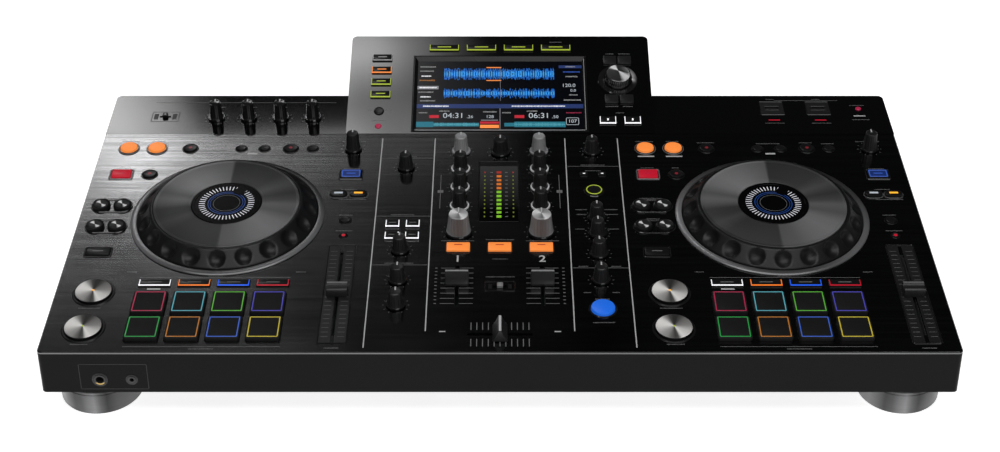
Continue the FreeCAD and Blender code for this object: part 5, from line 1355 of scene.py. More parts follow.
@dataclass
class Deck:
    """Buttons, pads, prints and slider plate of one deck."""

    console: Console
    side: str
    tempo_x: float = 102.3
    tempo_low: float = 11.25
    tempo_high: float = 136.25
    tempo_width: float = 24.0
    slot_width: float = 3.2

    def __post_init__(self) -> None:
        """Find the middle of the deck."""
        self.x = self.console.decks[self.side]

    @staticmethod
    def kind(button: Button) -> DeckButton:
        """Kind of a button from its size and place.

        Args:
            button: the button.

        Returns:
            The kind.
        """
        width = button.size[0]
        if button.island.round:
            if width > 25:
                return DeckButton.TRANSPORT
            if width > 14:
                return DeckButton.LOOP if button.centre[1] > 260 else DeckButton.SEARCH
            return DeckButton.ROUND
        for limit, kind in ((16.0, DeckButton.TEMPO), (17.7, DeckButton.QUANTISE), (19.5, DeckButton.SYNC),
                            (22.0, DeckButton.SHIFT)):
            if width < limit:
                return kind
        return DeckButton.MODE

    def buttons(self) -> None:
        """All caps of the deck on their shared body, and the fixed bezels round them."""
        node = f"{self.side}_deck_buttons"
        caps, bezels, found = buttons_of(node, self.console.panel)
        mode_lights, tempo_lights = cycle((WHITE, AMBER, BLUE, RED)), cycle((SCREEN_TEXT, YELLOW))
        for button in found:
            kind, radius = self.kind(button), button.radius
            if kind is DeckButton.LOOP:
                button.cap(radius, ORANGE, 0.9, 0.3)
                button.lens([(radius - 1.0, -0.6), (radius - 1.5, -0.05), (3.0, 0.25), (0.2, 0.3)], ORANGE,
                            48)
                button.bezel((17.8, 17.8), 0.7, 8.9, 1.2)
                button.bezel((19.4, 19.4), 0.6, 9.7, 0.8, KNOB_SILVER)
            elif kind is DeckButton.SEARCH:
                button.cap(radius, CAP, 1.0, 0.5)
                # The lens carries painted highlights on its dark face.
                button.lens([(5.0, -0.7), (4.9, -0.2), (4.2, -0.1), (0.3, -0.3)],
                            centred(DARK_SPUN_PAINTED, caps, button.centre), 48)
            elif kind is DeckButton.TRANSPORT:
                self.transport(button)
            elif kind is DeckButton.ROUND:
                button.cap(radius, CAP, 0.7, 0.25)
                button.bezel(button.smaller(-2.6), 0.9, radius + 1.3, 0.5, CAP)
                if radius > 6:
                    button.lens([(1.7, -0.4), (1.5, -0.1), (0.2, -0.05)], RED_DIM)
                if radius < 4:
                    button.lens([(1.9, -0.3), (1.6, -0.05), (0.2, 0.05)], RED)
            elif kind is DeckButton.QUANTISE:
                button.cap(1.2, RED, 0.4)
                button.bar((6.0, 0.7), ROSE)
                button.bezel((20.6, 15.2), 1.0, 1.8, 0.9, KNOB_SILVER)
                button.bezel((22.0, 16.6), 0.6, 2.2, 0.5)
            elif kind is DeckButton.SYNC:
                wide, long = button.size
                button.cap(1.0, CAP, 0.4)
                button.frame((wide - 2.0, long - 1.8), 1.2, 0.8, 0.2, SKY)
                button.bar((wide - 4.8, long - 4.6), DIM_BLUE, 0.05)
                button.bar((8.0, 1.2), SKY, 0.1)
                button.bezel((21.6, 15.6), 1.2, 1.6, 0.9)
            elif kind is DeckButton.SHIFT:
                button.cap(1.4, CAP, 0.5)
                button.bar((9.0, 0.9), PRINT_DIM, 0.05)
                button.bezel((23.4, 13.8), 1.1, 1.8, 0.8)
            elif kind is DeckButton.TEMPO:
                button.cap(4.4, CAP, 0.8)
                button.bar((7.6, 2.4), next(tempo_lights))
                button.bezel(button.smaller(-1.9), 0.45, 5.3, 0.5, KNOB_SILVER)
            else:
                button.cap(0.8, CAP, 0.3)
                button.bracket(next(mode_lights), 0.8)
                button.bar((11.0, 0.9), PRINT_DIM, up=0.9)
        for row in (193.0, 163.25):
            bezels.rim((self.x - 102.95, row), (36.6, 19.0), 1.2, 9.4, -1.0, 0.8, KNOB_GLOSS)
        caps.build(f"{node}_look", node, "button", node)
        bezels.build(f"{self.side}_bezels", "chassis", "button")

    @staticmethod
    def transport(button: Button) -> None:
        """Spun silver start or cue button in its dark ring, with painted highlight wedges.

        Args:
            button: the button.
        """
        radius = button.radius
        finish = centred(SILVER_SPUN_PAINTED, button.caps, button.centre)
        button.caps.turned(button.centre, [
            (radius - 0.2, -2.0), (radius, -1.8), (radius, button.top - 0.9),
            (radius - 0.2, button.top - 0.8)], CAP)
        button.lens([(radius - 0.2, -1.0), (radius - 0.1, -0.6), (radius - 0.4, -0.2), (radius - 0.9, 0.0),
                     (radius - 1.3, 0.0), (radius - 1.6, -0.2)], finish, 96)
        shares = [index / 12 for index in range(13)]
        button.lens([(radius - 1.6 - share * (radius - 1.7), -0.2 - 0.35 * math.sin(math.pi * share))
                     for share in shares], finish, 96)
        hue = YELLOW if button.centre[1] > 50 else LIME
        button.lens([(1.0, -0.6), (1.0, -0.1), (0.2, 0.0)], hue)
        button.bezel((2 * radius + 5.6, 2 * radius + 5.6), 2.4, radius + 2.8, 0.8, CAP)

    def pads(self) -> None:
        """Rubber pads with lit frames."""
        node = f"{self.side}_pads"
        caps, _, found = buttons_of(node, self.console.panel)
        for pad, light in zip(found, (LEAF, TAN, SKY, LEMON, ROSE, CYAN, GREEN, VIOLET)):
            pad.cap(2.2, PAD_RUBBER, 0.9)
            pad.frame(pad.smaller(2.6), 1.1, 1.0, 0.3, light)
        caps.build(f"{node}_look", node, "pad", node)

    def tempo(self) -> None:
        """Frame and scale of the tempo slider."""
        panel = self.console.panel
        x, middle = self.x + self.tempo_x, (self.tempo_low + self.tempo_high) / 2
        length = self.tempo_high - self.tempo_low + 3
        piece = Piece(panel)
        piece.rim((x, middle), (self.tempo_width, length), 1.2, 2.0, -1.0, 0.9, KNOB_GLOSS)
        inner = self.tempo_width - 2.4
        for side in (-1, 1):
            piece.bar((x + side * (inner + self.slot_width) / 4, middle),
                      ((inner - self.slot_width) / 2, length - 2.4), -0.5, 0.12, WELL)
        piece.build(f"{self.side}_tempo_frame", "chassis", "slider")
        scale = self.console.patterns.bars(panel, (x - 6.6, self.tempo_low + 7.5, 0.15), PRINT_DIM, (2, 21),
                                           (13.2, 5.5), (5.6, 0.35, 0.05))
        self.console.marks(f"{self.side}_tempo_scale", [scale], "panel")

    def prints(self) -> None:
        """Lines and small print of the deck."""
        piece = Piece(self.console.panel)
        for along in (93.6, 6.75):
            piece.mark((self.x, along), (124.0, 0.4), PRINT_DIM)
        labels = [(-48.6, 78.6, 11.0, 1.6), (10.3, 273.5, 9.0, 2.2)]
        if self.side == "right":
            labels += [(-102.95, 269.3, 15.0, 1.7), (-77.45, 269.3, 15.0, 1.7)]
        for across, along, *size in labels:
            piece.mark((self.x + across, along), size)
        piece.build(f"{self.side}_lines", "chassis", "panel")
        rows = ((-103.0, 293.0, 16), (-77.5, 293.0, 12), (-47.0, 291.0, 16), (10.0, 289.5, 22),
                (44.5, 291.0, 12), (64.5, 289.5, 12), (101.5, 293.0, 22), (-103.0, 251.0, 12),
                (-77.7, 251.0, 6), (-103.0, 204.5, 20), (-103.0, 174.5, 12), (102.3, 249.5, 14),
                (102.0, 218.0, 14), (106.0, 203.0, 24), (101.8, 180.0, 12), (101.8, 157.5, 14),
                (-96.7, 54.0, 18), (-96.7, 9.5, 14), (-70.0, 101.0, 8), (70.0, 101.0, 8), (0.0, 95.3, 12),
                (0.0, 4.0, 20), (102.3, 5.0, 12))
        Legends(self.console, self.console.panel, 20 if self.side == "left" else 60).build(
            f"{self.side}_small_print", [(self.x + across, *row) for across, *row in rows])

    def build(self) -> None:
        """Make the whole deck."""
        self.buttons()
        self.pads()
        self.tempo()
        self.prints()


@dataclass
class Sliders:
    """Caps of the faders, tempo sliders and slide switches."""

    console: Console

    def cap(self, node: str, profile: Sequence[Point], half: float, across: bool, bars: Sequence[tuple],
            finish: Finish = SLIDER, light: Finish = KNOB_LIGHT, stalk: float = 6.0) -> None:
        """Make one cap by drawing a profile along the cap.

        Args:
            node: CAD node, which has a body of the same name.
            profile: place along the travel and height, as a closed outline.
            half: half width across the travel.
            across: whether the travel runs across the console.
            bars: place, size along the travel, height and width of each light bar.
            finish: finish of the cap.
            light: finish of the light bars.
            stalk: length of its stalk along the travel.
        """
        surface = self.console.panel
        spots = [surface.local(vertex.co) for vertex in bpy.data.objects[node].data.vertices]
        spots = [spot for spot in spots if spot.z > 0.3]
        centre = ((min(p.x for p in spots) + max(p.x for p in spots)) / 2,
                  (min(p.y for p in spots) + max(p.y for p in spots)) / 2)
        middle = sum(point[1] for point in profile) / len(profile)

        def place(travel: float, side: float, height: float) -> Vector:
            """Point of the cap on the panel."""
            if across:
                return Vector((centre[0] + travel, centre[1] + side, height))
            return Vector((centre[0] + side, centre[1] + travel, height))

        piece = Piece(surface)
        loops = []
        for side, shrink in ((-half, 0.88), (-half + 0.35, 0.97), (-half + 1.0, 1.0), (half - 1.0, 1.0),
                             (half - 0.35, 0.97), (half, 0.88)):
            loops.append([place(travel * shrink, side, middle + (height - middle) * shrink)
                          for travel, height in profile])
        piece.loft(loops, finish)
        for travel, length, height, width in bars:
            size = (length, width) if across else (width, length)
            spot = place(travel, 0.0, height)
            piece.bar((spot.x, spot.y), size, height - 0.6, height + 0.02, light)
        piece.bar(centre, (stalk, 2.0) if across else (2.0, stalk), -10.8, 1.0, WELL)
        piece.build(f"{node}_look", node, "slider", node)

    @staticmethod
    def flank(start: Point, end: Point, sag: float, steps: int = 6) -> list[Point]:
        """Hollow flank between two points.

        Args:
            start: first point.
            end: last point.
            sag: depth of the hollow.
            steps: divisions of the flank.

        Returns:
            Points from the first to the last.
        """
        points = []
        for index in range(steps + 1):
            share = index / steps
            hollow = sag * math.sin(math.pi * share)
            points.append((start[0] + (end[0] - start[0]) * share,
                           start[1] + (end[1] - start[1]) * share - hollow))
        return points

    def build(self) -> None:
        """Make every cap."""
        fader = [(-6.0, 0.4), (6.0, 0.4)] + self.flank((6.0, 2.2), (1.3, 11.9), 1.0)
        fader += self.flank((-1.3, 11.9), (-6.0, 2.2), 1.0)
        for node in ("left_channel_fader", "right_channel_fader", "crossfader"):
            across = node == "crossfader"
            light = PRINT if across else KNOB_LIGHT
            self.cap(node, fader, 9.7, across, [(0.0, 2.0, 11.95, 18.6)], light=light)
        ridge = [(-6.0, 0.4), (6.0, 0.4), (6.0, 6.4), (5.6, 7.2)] + self.flank((4.4, 7.9), (1.2, 5.7), 0.5)
        ridge += self.flank((-1.2, 5.7), (-4.4, 7.9), 0.5) + [(-5.6, 7.2), (-6.0, 6.4)]
        for node in ("left_tempo_slider", "right_tempo_slider"):
            self.cap(node, ridge, 8.75, False, [(3.9, 2.2, 7.85, 16.6)], light=KNOB_SILVER)
        block = [(-2.5, 0.4), (2.5, 0.4), (2.5, 2.6), (2.1, 3.0), (-2.1, 3.0), (-2.5, 2.6)]
        for node, finish in (("fader_curve_switch", CAP_GREY), ("mic_switch", CAP)):
            self.cap(node, block, 2.5, True, [(0.0, 0.8, 3.0, 3.0)], finish, stalk=3.0)


@dataclass
class Mixer:
    """Buttons, meter, scales and prints of the mixer."""

    console: Console
    meter_x: float = -0.9
    meter_low: float = 170.4
    meter_high: float = 261.8
    lamp_low: float = 178.0
    lamp_pitch: float = 6.0
    fader_x: tuple[float, float] = (-35.5, 35.1)

    def buttons(self) -> None:
        """Caps of the mixer on their shared body, and their bezels."""
        caps, bezels, found = buttons_of("mixer_buttons", self.console.panel)
        for button in found:
            wide, radius = button.size[0], button.radius
            if button.island.round and radius > 9:
                button.cap(radius, BRIGHT_BLUE, 1.2)
                button.bezel((23.4, 23.4), 1.8, 11.7, 1.0)
            elif button.island.round:
                button.cap(radius, CAP, 0.8, 0.3)
                caps.rim(button.centre, (wide - 0.6, wide - 0.6), 1.1, radius - 0.3, button.top - 0.5,
                         button.top + 0.1, LIME)
                button.bezel((18.0, 18.0), 1.4, 9.0, 0.8)
            elif wide > 15:
                button.cap(0.8, ORANGE, 0.5)
                button.bar((7.0, 1.1), METER_RED, 0.05, 2.0)
                button.bezel(button.smaller(-2.4), 0.9, 1.4, 0.5)
            elif wide > 9:
                button.cap(0.8, CAP, 0.3)
                button.bracket(WHITE)
                button.bar((6.0, 0.9), PRINT_DIM, up=1.2)
            else:
                button.cap(1.0, CAP, 0.3)
                button.bar((2.2, 1.1), WHITE)
        caps.build("mixer_buttons_look", "mixer_buttons", "button", "mixer_buttons")
        bezels.build("mixer_bezels", "chassis", "button")

    def meter(self) -> None:
        """Level meter with its lamps behind dark glass."""
        panel, bars = self.console.panel, self.console.patterns.bars
        meshes = []
        for first, count, finish, side in ((0, 7, METER_GREEN, METER_DIM), (7, 4, METER_ORANGE, METER_DIM),
                                           (11, 1, METER_RED, METER_RED)):
            low = self.lamp_low + first * self.lamp_pitch
            meshes.append(bars(panel, (self.meter_x, low, 0.08), finish, (1, count), (1.0, self.lamp_pitch),
                               (4.2, 3.3, 0.12)))
            meshes.append(bars(panel, (self.meter_x - 12.6, low, 0.08), side, (2, count),
                               (25.2, self.lamp_pitch), (1.2, 2.0, 0.12)))
        meshes.append(bars(panel, (self.meter_x - 6.6, self.lamp_low, 0.08), PRINT_DIM, (2, 12),
                           (13.2, self.lamp_pitch), (2.4, 1.0, 0.05)))
        self.console.marks("meter_lamps", meshes, "gloss")
        piece = Piece(panel)
        piece.rim((self.meter_x, (self.meter_low + self.meter_high) / 2),
                  (35.4, self.meter_high - self.meter_low), 0.8, 1.0, -0.5, 0.3, FRAME_GREY)
        piece.bar((self.meter_x, self.meter_high - 4.6), (33.6, 7.0), -0.2, 0.06, CAP)
        piece.build("meter_frame", "chassis", "gloss")

    def scales(self) -> None:
        """Scales of the faders and housing of the curve switch."""
        panel = self.console.panel
        grids = []
        for across in self.fader_x:
            grids.append((across - 7.7, 60.0, (2, 8), (15.4, 6.6), (11.5, 0.5, 0.05)))
            grids.append((across + math.copysign(17.5, across), 60.0, (1, 11), (1.0, 4.62), (2.0, 0.8, 0.05)))
        grids += [(-23.1, along, (11, 1), (4.62, 1.0), (0.7, 9.0, 0.05)) for along in (11.5, 31.5)]
        meshes = [self.console.patterns.bars(panel, (across, along, 0.02), PRINT_DIM, *rest)
                  for across, along, *rest in grids]
        self.console.marks("fader_scales", meshes, "panel")
        piece = Piece(panel)
        piece.rim((0.0, 82.0), (25.6, 13.4), 1.1, 1.6, -1.0, 0.7, KNOB_GLOSS)
        for side in (-1, 1):
            piece.bar((side * 8.2, 82.0), (3.0, 6.0), -0.4, 0.15, CAP)
        piece.build("curve_switch_frame", "chassis", "slider")

    def prints(self) -> None:
        """Separators, channel numbers and small print."""
        piece = Piece(self.console.panel)
        for across, low in ((-107.75, 5.5), (107.75, 5.5), (-59.5, 25.5), (59.5, 25.5)):
            piece.bar((across, (low + 298.0) / 2), (0.9, 298.0 - low), -0.02, 0.12, PRINT)
        for across, along, width in ((-83.75, 266.5, 46.5), (-83.75, 178.5, 46.5), (-83.75, 110.5, 46.5),
                                     (83.75, 253.5, 46.5), (83.75, 106.5, 46.5), (-36.0, 143.5, 28.0),
                                     (36.0, 143.5, 28.0)):
            piece.mark((across, along), (width, 0.45), PRINT_DIM)
        for across in (-52.5, 52.5):
            piece.mark((across, 215.0), (0.5, 50.0), PRINT_DIM)
            piece.mark((across, 215.0), (5.0, 4.0), PRINT_DIM)
        for words, across in (("1", -35.5), ("2", 35.5)):
            piece.text(words, (across, 118.5), 8.6, PRINT, bold=0.02)
        for across in (-46.0, 46.0):
            piece.mark((across, 25.0), (5.0, 1.2))
        piece.build("mixer_lines", "chassis", "panel")
        Legends(self.console, self.console.panel, 120).build("mixer_small_print", (
            (-84.5, 268.5, 18), (-84.5, 112.8, 24), (-84.5, 180.5, 20), (0.0, 290.0, 12), (83.3, 255.5, 22),
            (83.3, 246.5, 14), (0.0, 118.5, 13), (0.0, 94.5, 24), (0.0, 145.0, 24), (83.3, 65.5, 12),
            (70.5, 188.0, 10), (96.5, 188.0, 12), (70.5, 181.0, 9), (96.5, 181.0, 12), (68.5, 160.0, 8),
            (97.0, 160.0, 10), (69.5, 108.5, 8), (97.0, 108.5, 8), (71.5, 74.0, 6), (95.0, 74.0, 6),
            (83.3, 290.5, 14), (-93.0, 142.5, 7), (-75.0, 142.5, 7), (-35.3, 289.0, 8), (35.3, 289.0, 8),
            (83.3, 36.0, 18)))

    def build(self) -> None:
        """Make the whole mixer."""
        self.buttons()
        self.meter()
        self.scales()
        self.prints()


@dataclass
class Display:
    """Buttons, frame and picture of the screen."""

    console: Console
    glass: float = -2.15
    half_width: float = 78.0
    low: float = 7.2
    high: float = 93.2
    outer: Point = (163.6, 95.8)
    inner: Point = (157.2, 87.2)

    def buttons(self) -> None:
        """Caps round the screen on their shared body."""
        caps, _, found = buttons_of("display_buttons", self.console.display)
        lights = cycle((LIME, LIME, ORANGE, CAP_GREY))
        for button in found:
            wide, radius = button.size[0], button.radius
            if button.island.round:
                button.cap(radius, CAP if radius > 4 else ROSE, 0.6, 0.2)
            elif wide > 17 or button.centre[1] < 25:
                if wide > 25:
                    light, mark = LIME, (13.0, 1.1)
                elif wide > 17:
                    light, mark = next(lights), (8.5, 1.1)
                else:
                    light, mark = WHITE, (1.4, 2.6)
                button.cap(0.5, CAP, 0.3)
                button.bracket(light)
                button.bar(mark, light, up=0.8)
            else:
                button.cap(1.2, SLIDER, 0.4)
        caps.build("display_buttons_look", "display_buttons", "button", "display_buttons")
        Legends(self.console, self.console.display, 200).build("display_small_print", (
            (104.7, 101.0, 8), (118.9, 101.0, 11), (104.7, 33.5, 12), (119.5, 33.5, 9), (112.0, 25.5, 8),
            (-121.0, 29.0, 6), (-104.5, 29.0, 6), (-113.0, 16.0, 12), (53.5, 116.5, 12)))

    def frame(self) -> None:
        """Bevel of the screen, with painted highlights as light grey bars along its bottom and right edges."""
        piece = Piece(self.console.display)
        middle = (self.low + self.high) / 2
        wide, long = self.outer
        piece.loft([rounded((0.0, middle), size, 1.0, height) for size, height in (
            (self.outer, -1.9), (self.outer, 0.25), ((wide - 1.4, long - 1.4), 0.35), (self.inner, -1.95))],
            FRAME_GREY, closed=True)
        # Painted highlights: light grey bars along the bevel's bottom and right edges.
        piece.bar((0.0, middle - 45.4), (158.0, 0.9), -1.6, -0.55, KNOB_LIGHT)
        piece.bar((79.9, middle), (0.7, 90.0), -1.4, -0.5, KNOB_LIGHT)
        piece.build("screen_bevel", "chassis", "screen")

    def picture(self) -> None:
        """Lit picture: two waves, headers, times and overviews."""
        piece = Piece(self.console.display)
        base = self.glass
        piece.bar((0.0, (self.low + self.high) / 2), (2 * self.half_width, self.high - self.low), base - 0.05,
                  base + 0.02, SCREEN_BACK)
        for left, low, right, high, finish, lift in (
                (-78, 33.2, 78, 38.4, NAVY, 0.05), (-0.3, 33.2, 0.3, 7.2, SCREEN_GREY, 0.05),
                (56, 84.4, 78, 88.0, NAVY, 0.05), (-78, 57.2, -58, 61.4, SCREEN_GREY, 0.05),
                (-12.9, 84.6, 1.2, 85.7, ORANGE, 0.16), (-12.9, 67.9, 1.2, 69.0, ORANGE, 0.16),
                (0.2, 42.5, 0.5, 86.0, SCREEN_GREY, 0.18), (-66.0, 21.0, -57.0, 24.6, RED, 0.05),
                (13.6, 21.0, 22.6, 24.6, RED, 0.05), (-18.6, 8.6, -1.0, 12.6, ORANGE, 0.05),
                (-18.6, 14.0, -1.0, 16.6, RED, 0.05), (-17.6, 17.8, -2.0, 18.8, SCREEN_GREY, 0.05),
                (-78, 9.8, -62, 16.4, TEAL, 0.05), (-62, 10.6, -19.6, 15.0, TEAL, 0.05),
                (4.0, 10.6, 13.3, 15.0, TEAL, 0.05), (13.3, 9.8, 61.0, 16.4, TEAL, 0.05)):
            piece.bar(((left + right) / 2, (low + high) / 2), (right - left, high - low), base, base + lift,
                      finish)
        piece.rim((67.5, 17.0), (12.0, 9.0), 0.5, 1.5, base, base + 0.08, SCREEN_TEXT)
        for words, across, along, height in (
                ("04:31", -43.5, 23.8, 6.4), (".26", -28.0, 22.4, 3.6), ("06:31", 36.5, 23.8, 6.4),
                (".50", 51.5, 22.4, 3.6), ("120.0", 65.0, 62.0, 4.2), ("0.0", 69.0, 55.6, 3.2),
                ("107", 67.5, 17.0, 4.0), ("128", -9.5, 22.6, 3.6)):
            piece.text(words, (across, along), height, SCREEN_TEXT, base)
        piece.build("screen_picture", "chassis", "screen")

    def waves(self) -> None:
        """Waves and small print of the picture."""
        surface, base = self.console.display, self.glass
        meshes = [self.console.patterns.row(surface, (left, middle, base + lift), *rest)
                  for left, middle, lift, *rest in (
                      (-52.8, 76.8, 0.06, WAVE_BLUE, 190, 0.55, (0.4, 15.5), 3, 0.5),
                      (-52.8, 76.8, 0.1, WAVE_CORE, 190, 0.55, (0.4, 8.5), 4, 0.3),
                      (-52.8, 52.0, 0.06, WAVE_BLUE, 190, 0.55, (0.4, 13.0), 5, 0.3),
                      (-52.8, 52.0, 0.1, WAVE_CORE, 190, 0.55, (0.4, 5.5), 6, 0.4),
                      (-51.5, 76.8, 0.14, SCREEN_BACK, 44, 2.35, (0.7, 15.5), 11, 0.1),
                      (-51.5, 52.0, 0.14, SCREEN_BACK, 44, 2.35, (0.7, 12.0), 12, 0.1),
                      (-61.5, 13.0, 0.1, CYAN, 76, 0.55, (0.35, 4.4), 8, 0.2),
                      (13.6, 13.0, 0.1, CYAN, 86, 0.55, (0.35, 4.4), 9, 0.2))]
        self.console.marks("screen_waves", meshes, "screen")
        Legends(self.console, surface, 300, base + 0.06, 1.9).build("screen_small_print", (
            (-68.5, 86.0, 15, PRINT), (-69.5, 80.5, 13, PRINT), (-70.0, 74.0, 9, WHITE),
            (-69.0, 68.5, 15, TAN), (-68.0, 59.3, 17, WHITE), (-70.0, 53.5, 14, PRINT),
            (-70.0, 47.5, 10, WHITE), (-68.0, 42.5, 14, PRINT), (67.0, 86.2, 9, PRINT), (68.0, 79.5, 16, SKY),
            (68.0, 73.5, 12, PRINT), (69.0, 50.0, 8, PRINT), (-60.0, 35.8, 24, WHITE),
            (36.0, 35.8, 50, WHITE), (-9.5, 28.6, 13, PRINT), (69.0, 27.5, 14, ROSE), (-72.0, 27.5, 8, PRINT),
            (6.0, 27.5, 8, PRINT), (-52.0, 29.6, 10, PRINT), (30.0, 29.6, 10, PRINT),
            (68.0, 43.5, 16, PRINT)))

    def build(self) -> None:
        """Make the whole display."""
        self.buttons()
        self.frame()
        self.picture()
        self.waves()


@dataclass
class Body:
    """Case, feet, rings, rear strip and sockets."""

    console: Console
    foot_radius: float = 33.4
    foot_height: float = 22.6
    case_base: float = 30.0
    finishes: dict[str, Finish] = field(default_factory=lambda: {
        "bottom_case": CASE, "top_panel": PANEL, "rear_strip": GLOSS, "display_housing": CASE,
        "display_face": GLOSS, "lcd_screen": FRAME_GREY, "circuit_boards": BOARD, "control_modules": MODULE,
        "power_supply": MODULE, "connector_sockets": SOCKET, "case_screws": SCREW, "power_rocker": CAP,
        "level_meter": SMOKED_PAINTED_REFLECTION, "jog_displays": DIAL_GLASS})

    def dress(self, nodes: dict[str, bpy.types.Object]) -> None:
        """Give the carried CAD nodes their finishes.

        Args:
            nodes: CAD nodes by name.
        """
        for name, finish in self.finishes.items():
            mesh = nodes[name].data
            mesh.materials.clear()
            mesh.materials.append(WORKSHOP.material(finish))
            LOG.info("%s dressed as %s", name, finish.name)

    def feet(self) -> None:
        """Turned feet with dark necks and painted highlight streaks round their sides."""
        ground = Surface(Vector((0.0, 0.0, 0.0)), 0.0)
        piece = Piece(ground)
        radius, high = self.foot_radius, self.foot_height
        for island in islands("feet", ground):
            finish = centred(FOOT, piece, island.centre)
            piece.turned(island.centre, [(0.5, 0.0), (radius - 2.0, 0.0), (radius - 0.6, 0.4), (radius, 1.4),
                                         (radius, high - 3.4), (radius - 0.35, high - 3.1),
                                         (radius - 0.35, high - 2.6), (radius, high - 2.3),
                                         (radius, high - 0.6), (radius - 0.6, high), (26.0, high)], finish,
                                         segments=144)
            piece.turned(island.centre, [(26.0, high - 0.5), (26.0, self.case_base), (0.5, self.case_base)],
                         FOOT_NECK, segments=96)
        piece.build("feet_look", "chassis", "foot", "feet")

    def rings(self) -> None:
        """Trim rings round the wheels, with painted highlights round them."""
        piece = Piece(self.console.panel)
        for across in self.console.decks.values():
            finish = centred(RING, piece, (across, JOG_S))
            piece.turned((across, JOG_S), [
                (77.9, -5.0), (79.9, -5.0), (79.9, 0.0), (83.1, 0.0), (83.4, 0.3), (83.3, 1.0), (82.6, 1.7),
                (81.2, 2.25), (79.8, 2.4), (78.5, 2.2), (78.0, 1.6)], finish, closed=True, segments=256)
        piece.build("jog_rings_look", "chassis", "jog_ring", "jog_rings")

    def strip(self) -> None:
        """Lamps, lines and frames on the rear strip."""
        panel = self.console.panel
        piece = Piece(panel)
        for across in (256.25, 299.5):
            piece.bar((across, 328.75), (10.5, 1.3), -0.02, 0.1, RED)
            piece.rim((across, 348.4), (22.6, 22.6), 0.6, 0.8, -0.5, 0.5, KNOB_GLOSS)
            piece.rim((across, 348.4), (14.2, 6.8), 0.5, 0.5, 0.0, 0.6, SCREW)
            piece.bar((across, 349.4), (11.6, 1.6), -11.5, -1.0, SOCKET)
        piece.turned((337.5, 347.5), [(2.6, 0.0), (2.6, 0.7), (2.2, 1.1), (0.3, 1.2)], ROSE, segments=48)
        piece.mark((337.0, 335.75), (11.0, 1.7))
        piece.rim((-313.2, 334.4), (26.0, 17.0), 1.0, 1.2, -0.5, 0.4, KNOB_GLOSS)
        for side in (-1, 1):
            piece.bar((-313.2 + side * 8.6, 334.4), (4.0, 9.0), -0.4, 0.12, CAP)
        piece.mark((-240.0, 358.5), (170.0, 0.4), PRINT_DIM)
        piece.mark((290.0, 362.0), (60.0, 0.4), PRINT_DIM)
        piece.build("strip_lamps", "chassis", "gloss")
        Legends(self.console, panel, 400).build("strip_small_print", (
            (-265.0, 350.5, 12), (-235.0, 350.5, 12), (-205.0, 350.5, 8), (-175.0, 350.5, 8),
            (256.25, 323.5, 18), (299.5, 323.5, 18), (256.25, 364.0, 8), (299.5, 364.0, 8),
            (337.0, 353.5, 14), (337.0, 329.5, 16)))

    def front(self) -> None:
        """Plate of the headphone jacks with its rings."""
        half_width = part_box("bottom_case")[1].x / MM
        panel_front = self.console.panel.origin
        lean = math.atan2(3.0, 36.0)
        face = Surface(Vector((0.0, panel_front.y, panel_front.z - 2.0 * MM)), math.pi / 2 - lean)
        piece = Piece(face)
        left = self.console.decks["left"]
        # The large jack's brass ring carries a painted glow.
        jacks = [(left - 81.3, 4.7, 3.25, BRASS_PAINTED_GLOW), (left - 56.0, 3.2, 1.8, SCREW)]
        piece.rim((-305.4, -21.3), (54.2, 24.0), 0.6, 1.2, -0.2, 0.18, WELL)
        for across, ring, bore, metal in jacks:
            piece.turned((across, -24.1), [(ring + 1.6, -0.2), (ring + 1.6, 0.15), (ring + 1.2, 0.35),
                                           (ring, 0.35), (ring, -0.2)], WELL, closed=True, segments=64)
            piece.turned((across, -24.1), [(ring - 0.1, 0.0), (ring - 0.1, 0.38), (bore + 0.3, 0.38),
                                           (bore + 0.1, 0.0)], metal, closed=True, segments=64)
        piece.build("jack_rings", "chassis", "socket")
        # Painted highlight along the panel's front edge.
        edge = Piece(self.console.panel)
        edge.bar((0.0, 0.35), (2 * half_width - 9.0, 0.35), -0.62, -0.12, EDGE_PAINTED_HIGHLIGHT)
        edge.build("front_edge_line", "chassis", "panel")

    def rear(self) -> None:
        """Collars of the rear sockets."""
        back = Surface(Vector((0.0, 0.0, 0.0)), math.pi / 2)
        piece = Piece(back)
        for mount in self.console.record["mounts"]:
            across, depth, height = (value / MM for value in mount["pos_m"])
            outer, radius = depth + mount["dims"].get("length_mm", 0.0) / 2, mount["dims"].get("r_mm", 0.0)
            rings = []
            if mount["kind"] == "pin":
                finish = SOCKET_RED if height > 48 else SOCKET_WHITE
                rings = [([(6.2, -8.6), (6.2, -6.8), (4.25, -6.8), (4.25, -8.6)], finish, 48),
                         ([(4.3, -6.6), (4.3, 0.0), (3.4, 0.0), (3.4, -0.6), (4.2, -0.6)], STEEL, 48)]
            elif mount["kind"] == "bore" and mount["axis"][1] > 0:
                rings = [([(7.4, -0.5), (7.2, 0.8), (radius + 1.0, 1.1), (radius + 0.2, 0.6),
                           (radius + 0.2, -0.5)],
                          STEEL, 64)]
            for profile, finish, segments in rings:
                piece.turned((across, height), [(reach, -(outer + out)) for reach, out in profile], finish,
                             closed=True, segments=segments)
        piece.build("rear_collars", "chassis", "socket")

    def build(self, nodes: dict[str, bpy.types.Object]) -> None:
        """Dress the body.

        Args:
            nodes: CAD nodes by name.
        """
        self.dress(nodes)
        self.feet()
        self.rings()
        self.strip()
        self.front()
        self.rear()


@dataclass(frozen=True)
class Card:
    """Part of the bright card plane, with its lightness across and up."""

    name: str
    side: Point
    rise: Point
    power: float
    across: tuple[Point, ...]
    up: tuple[Point, ...]


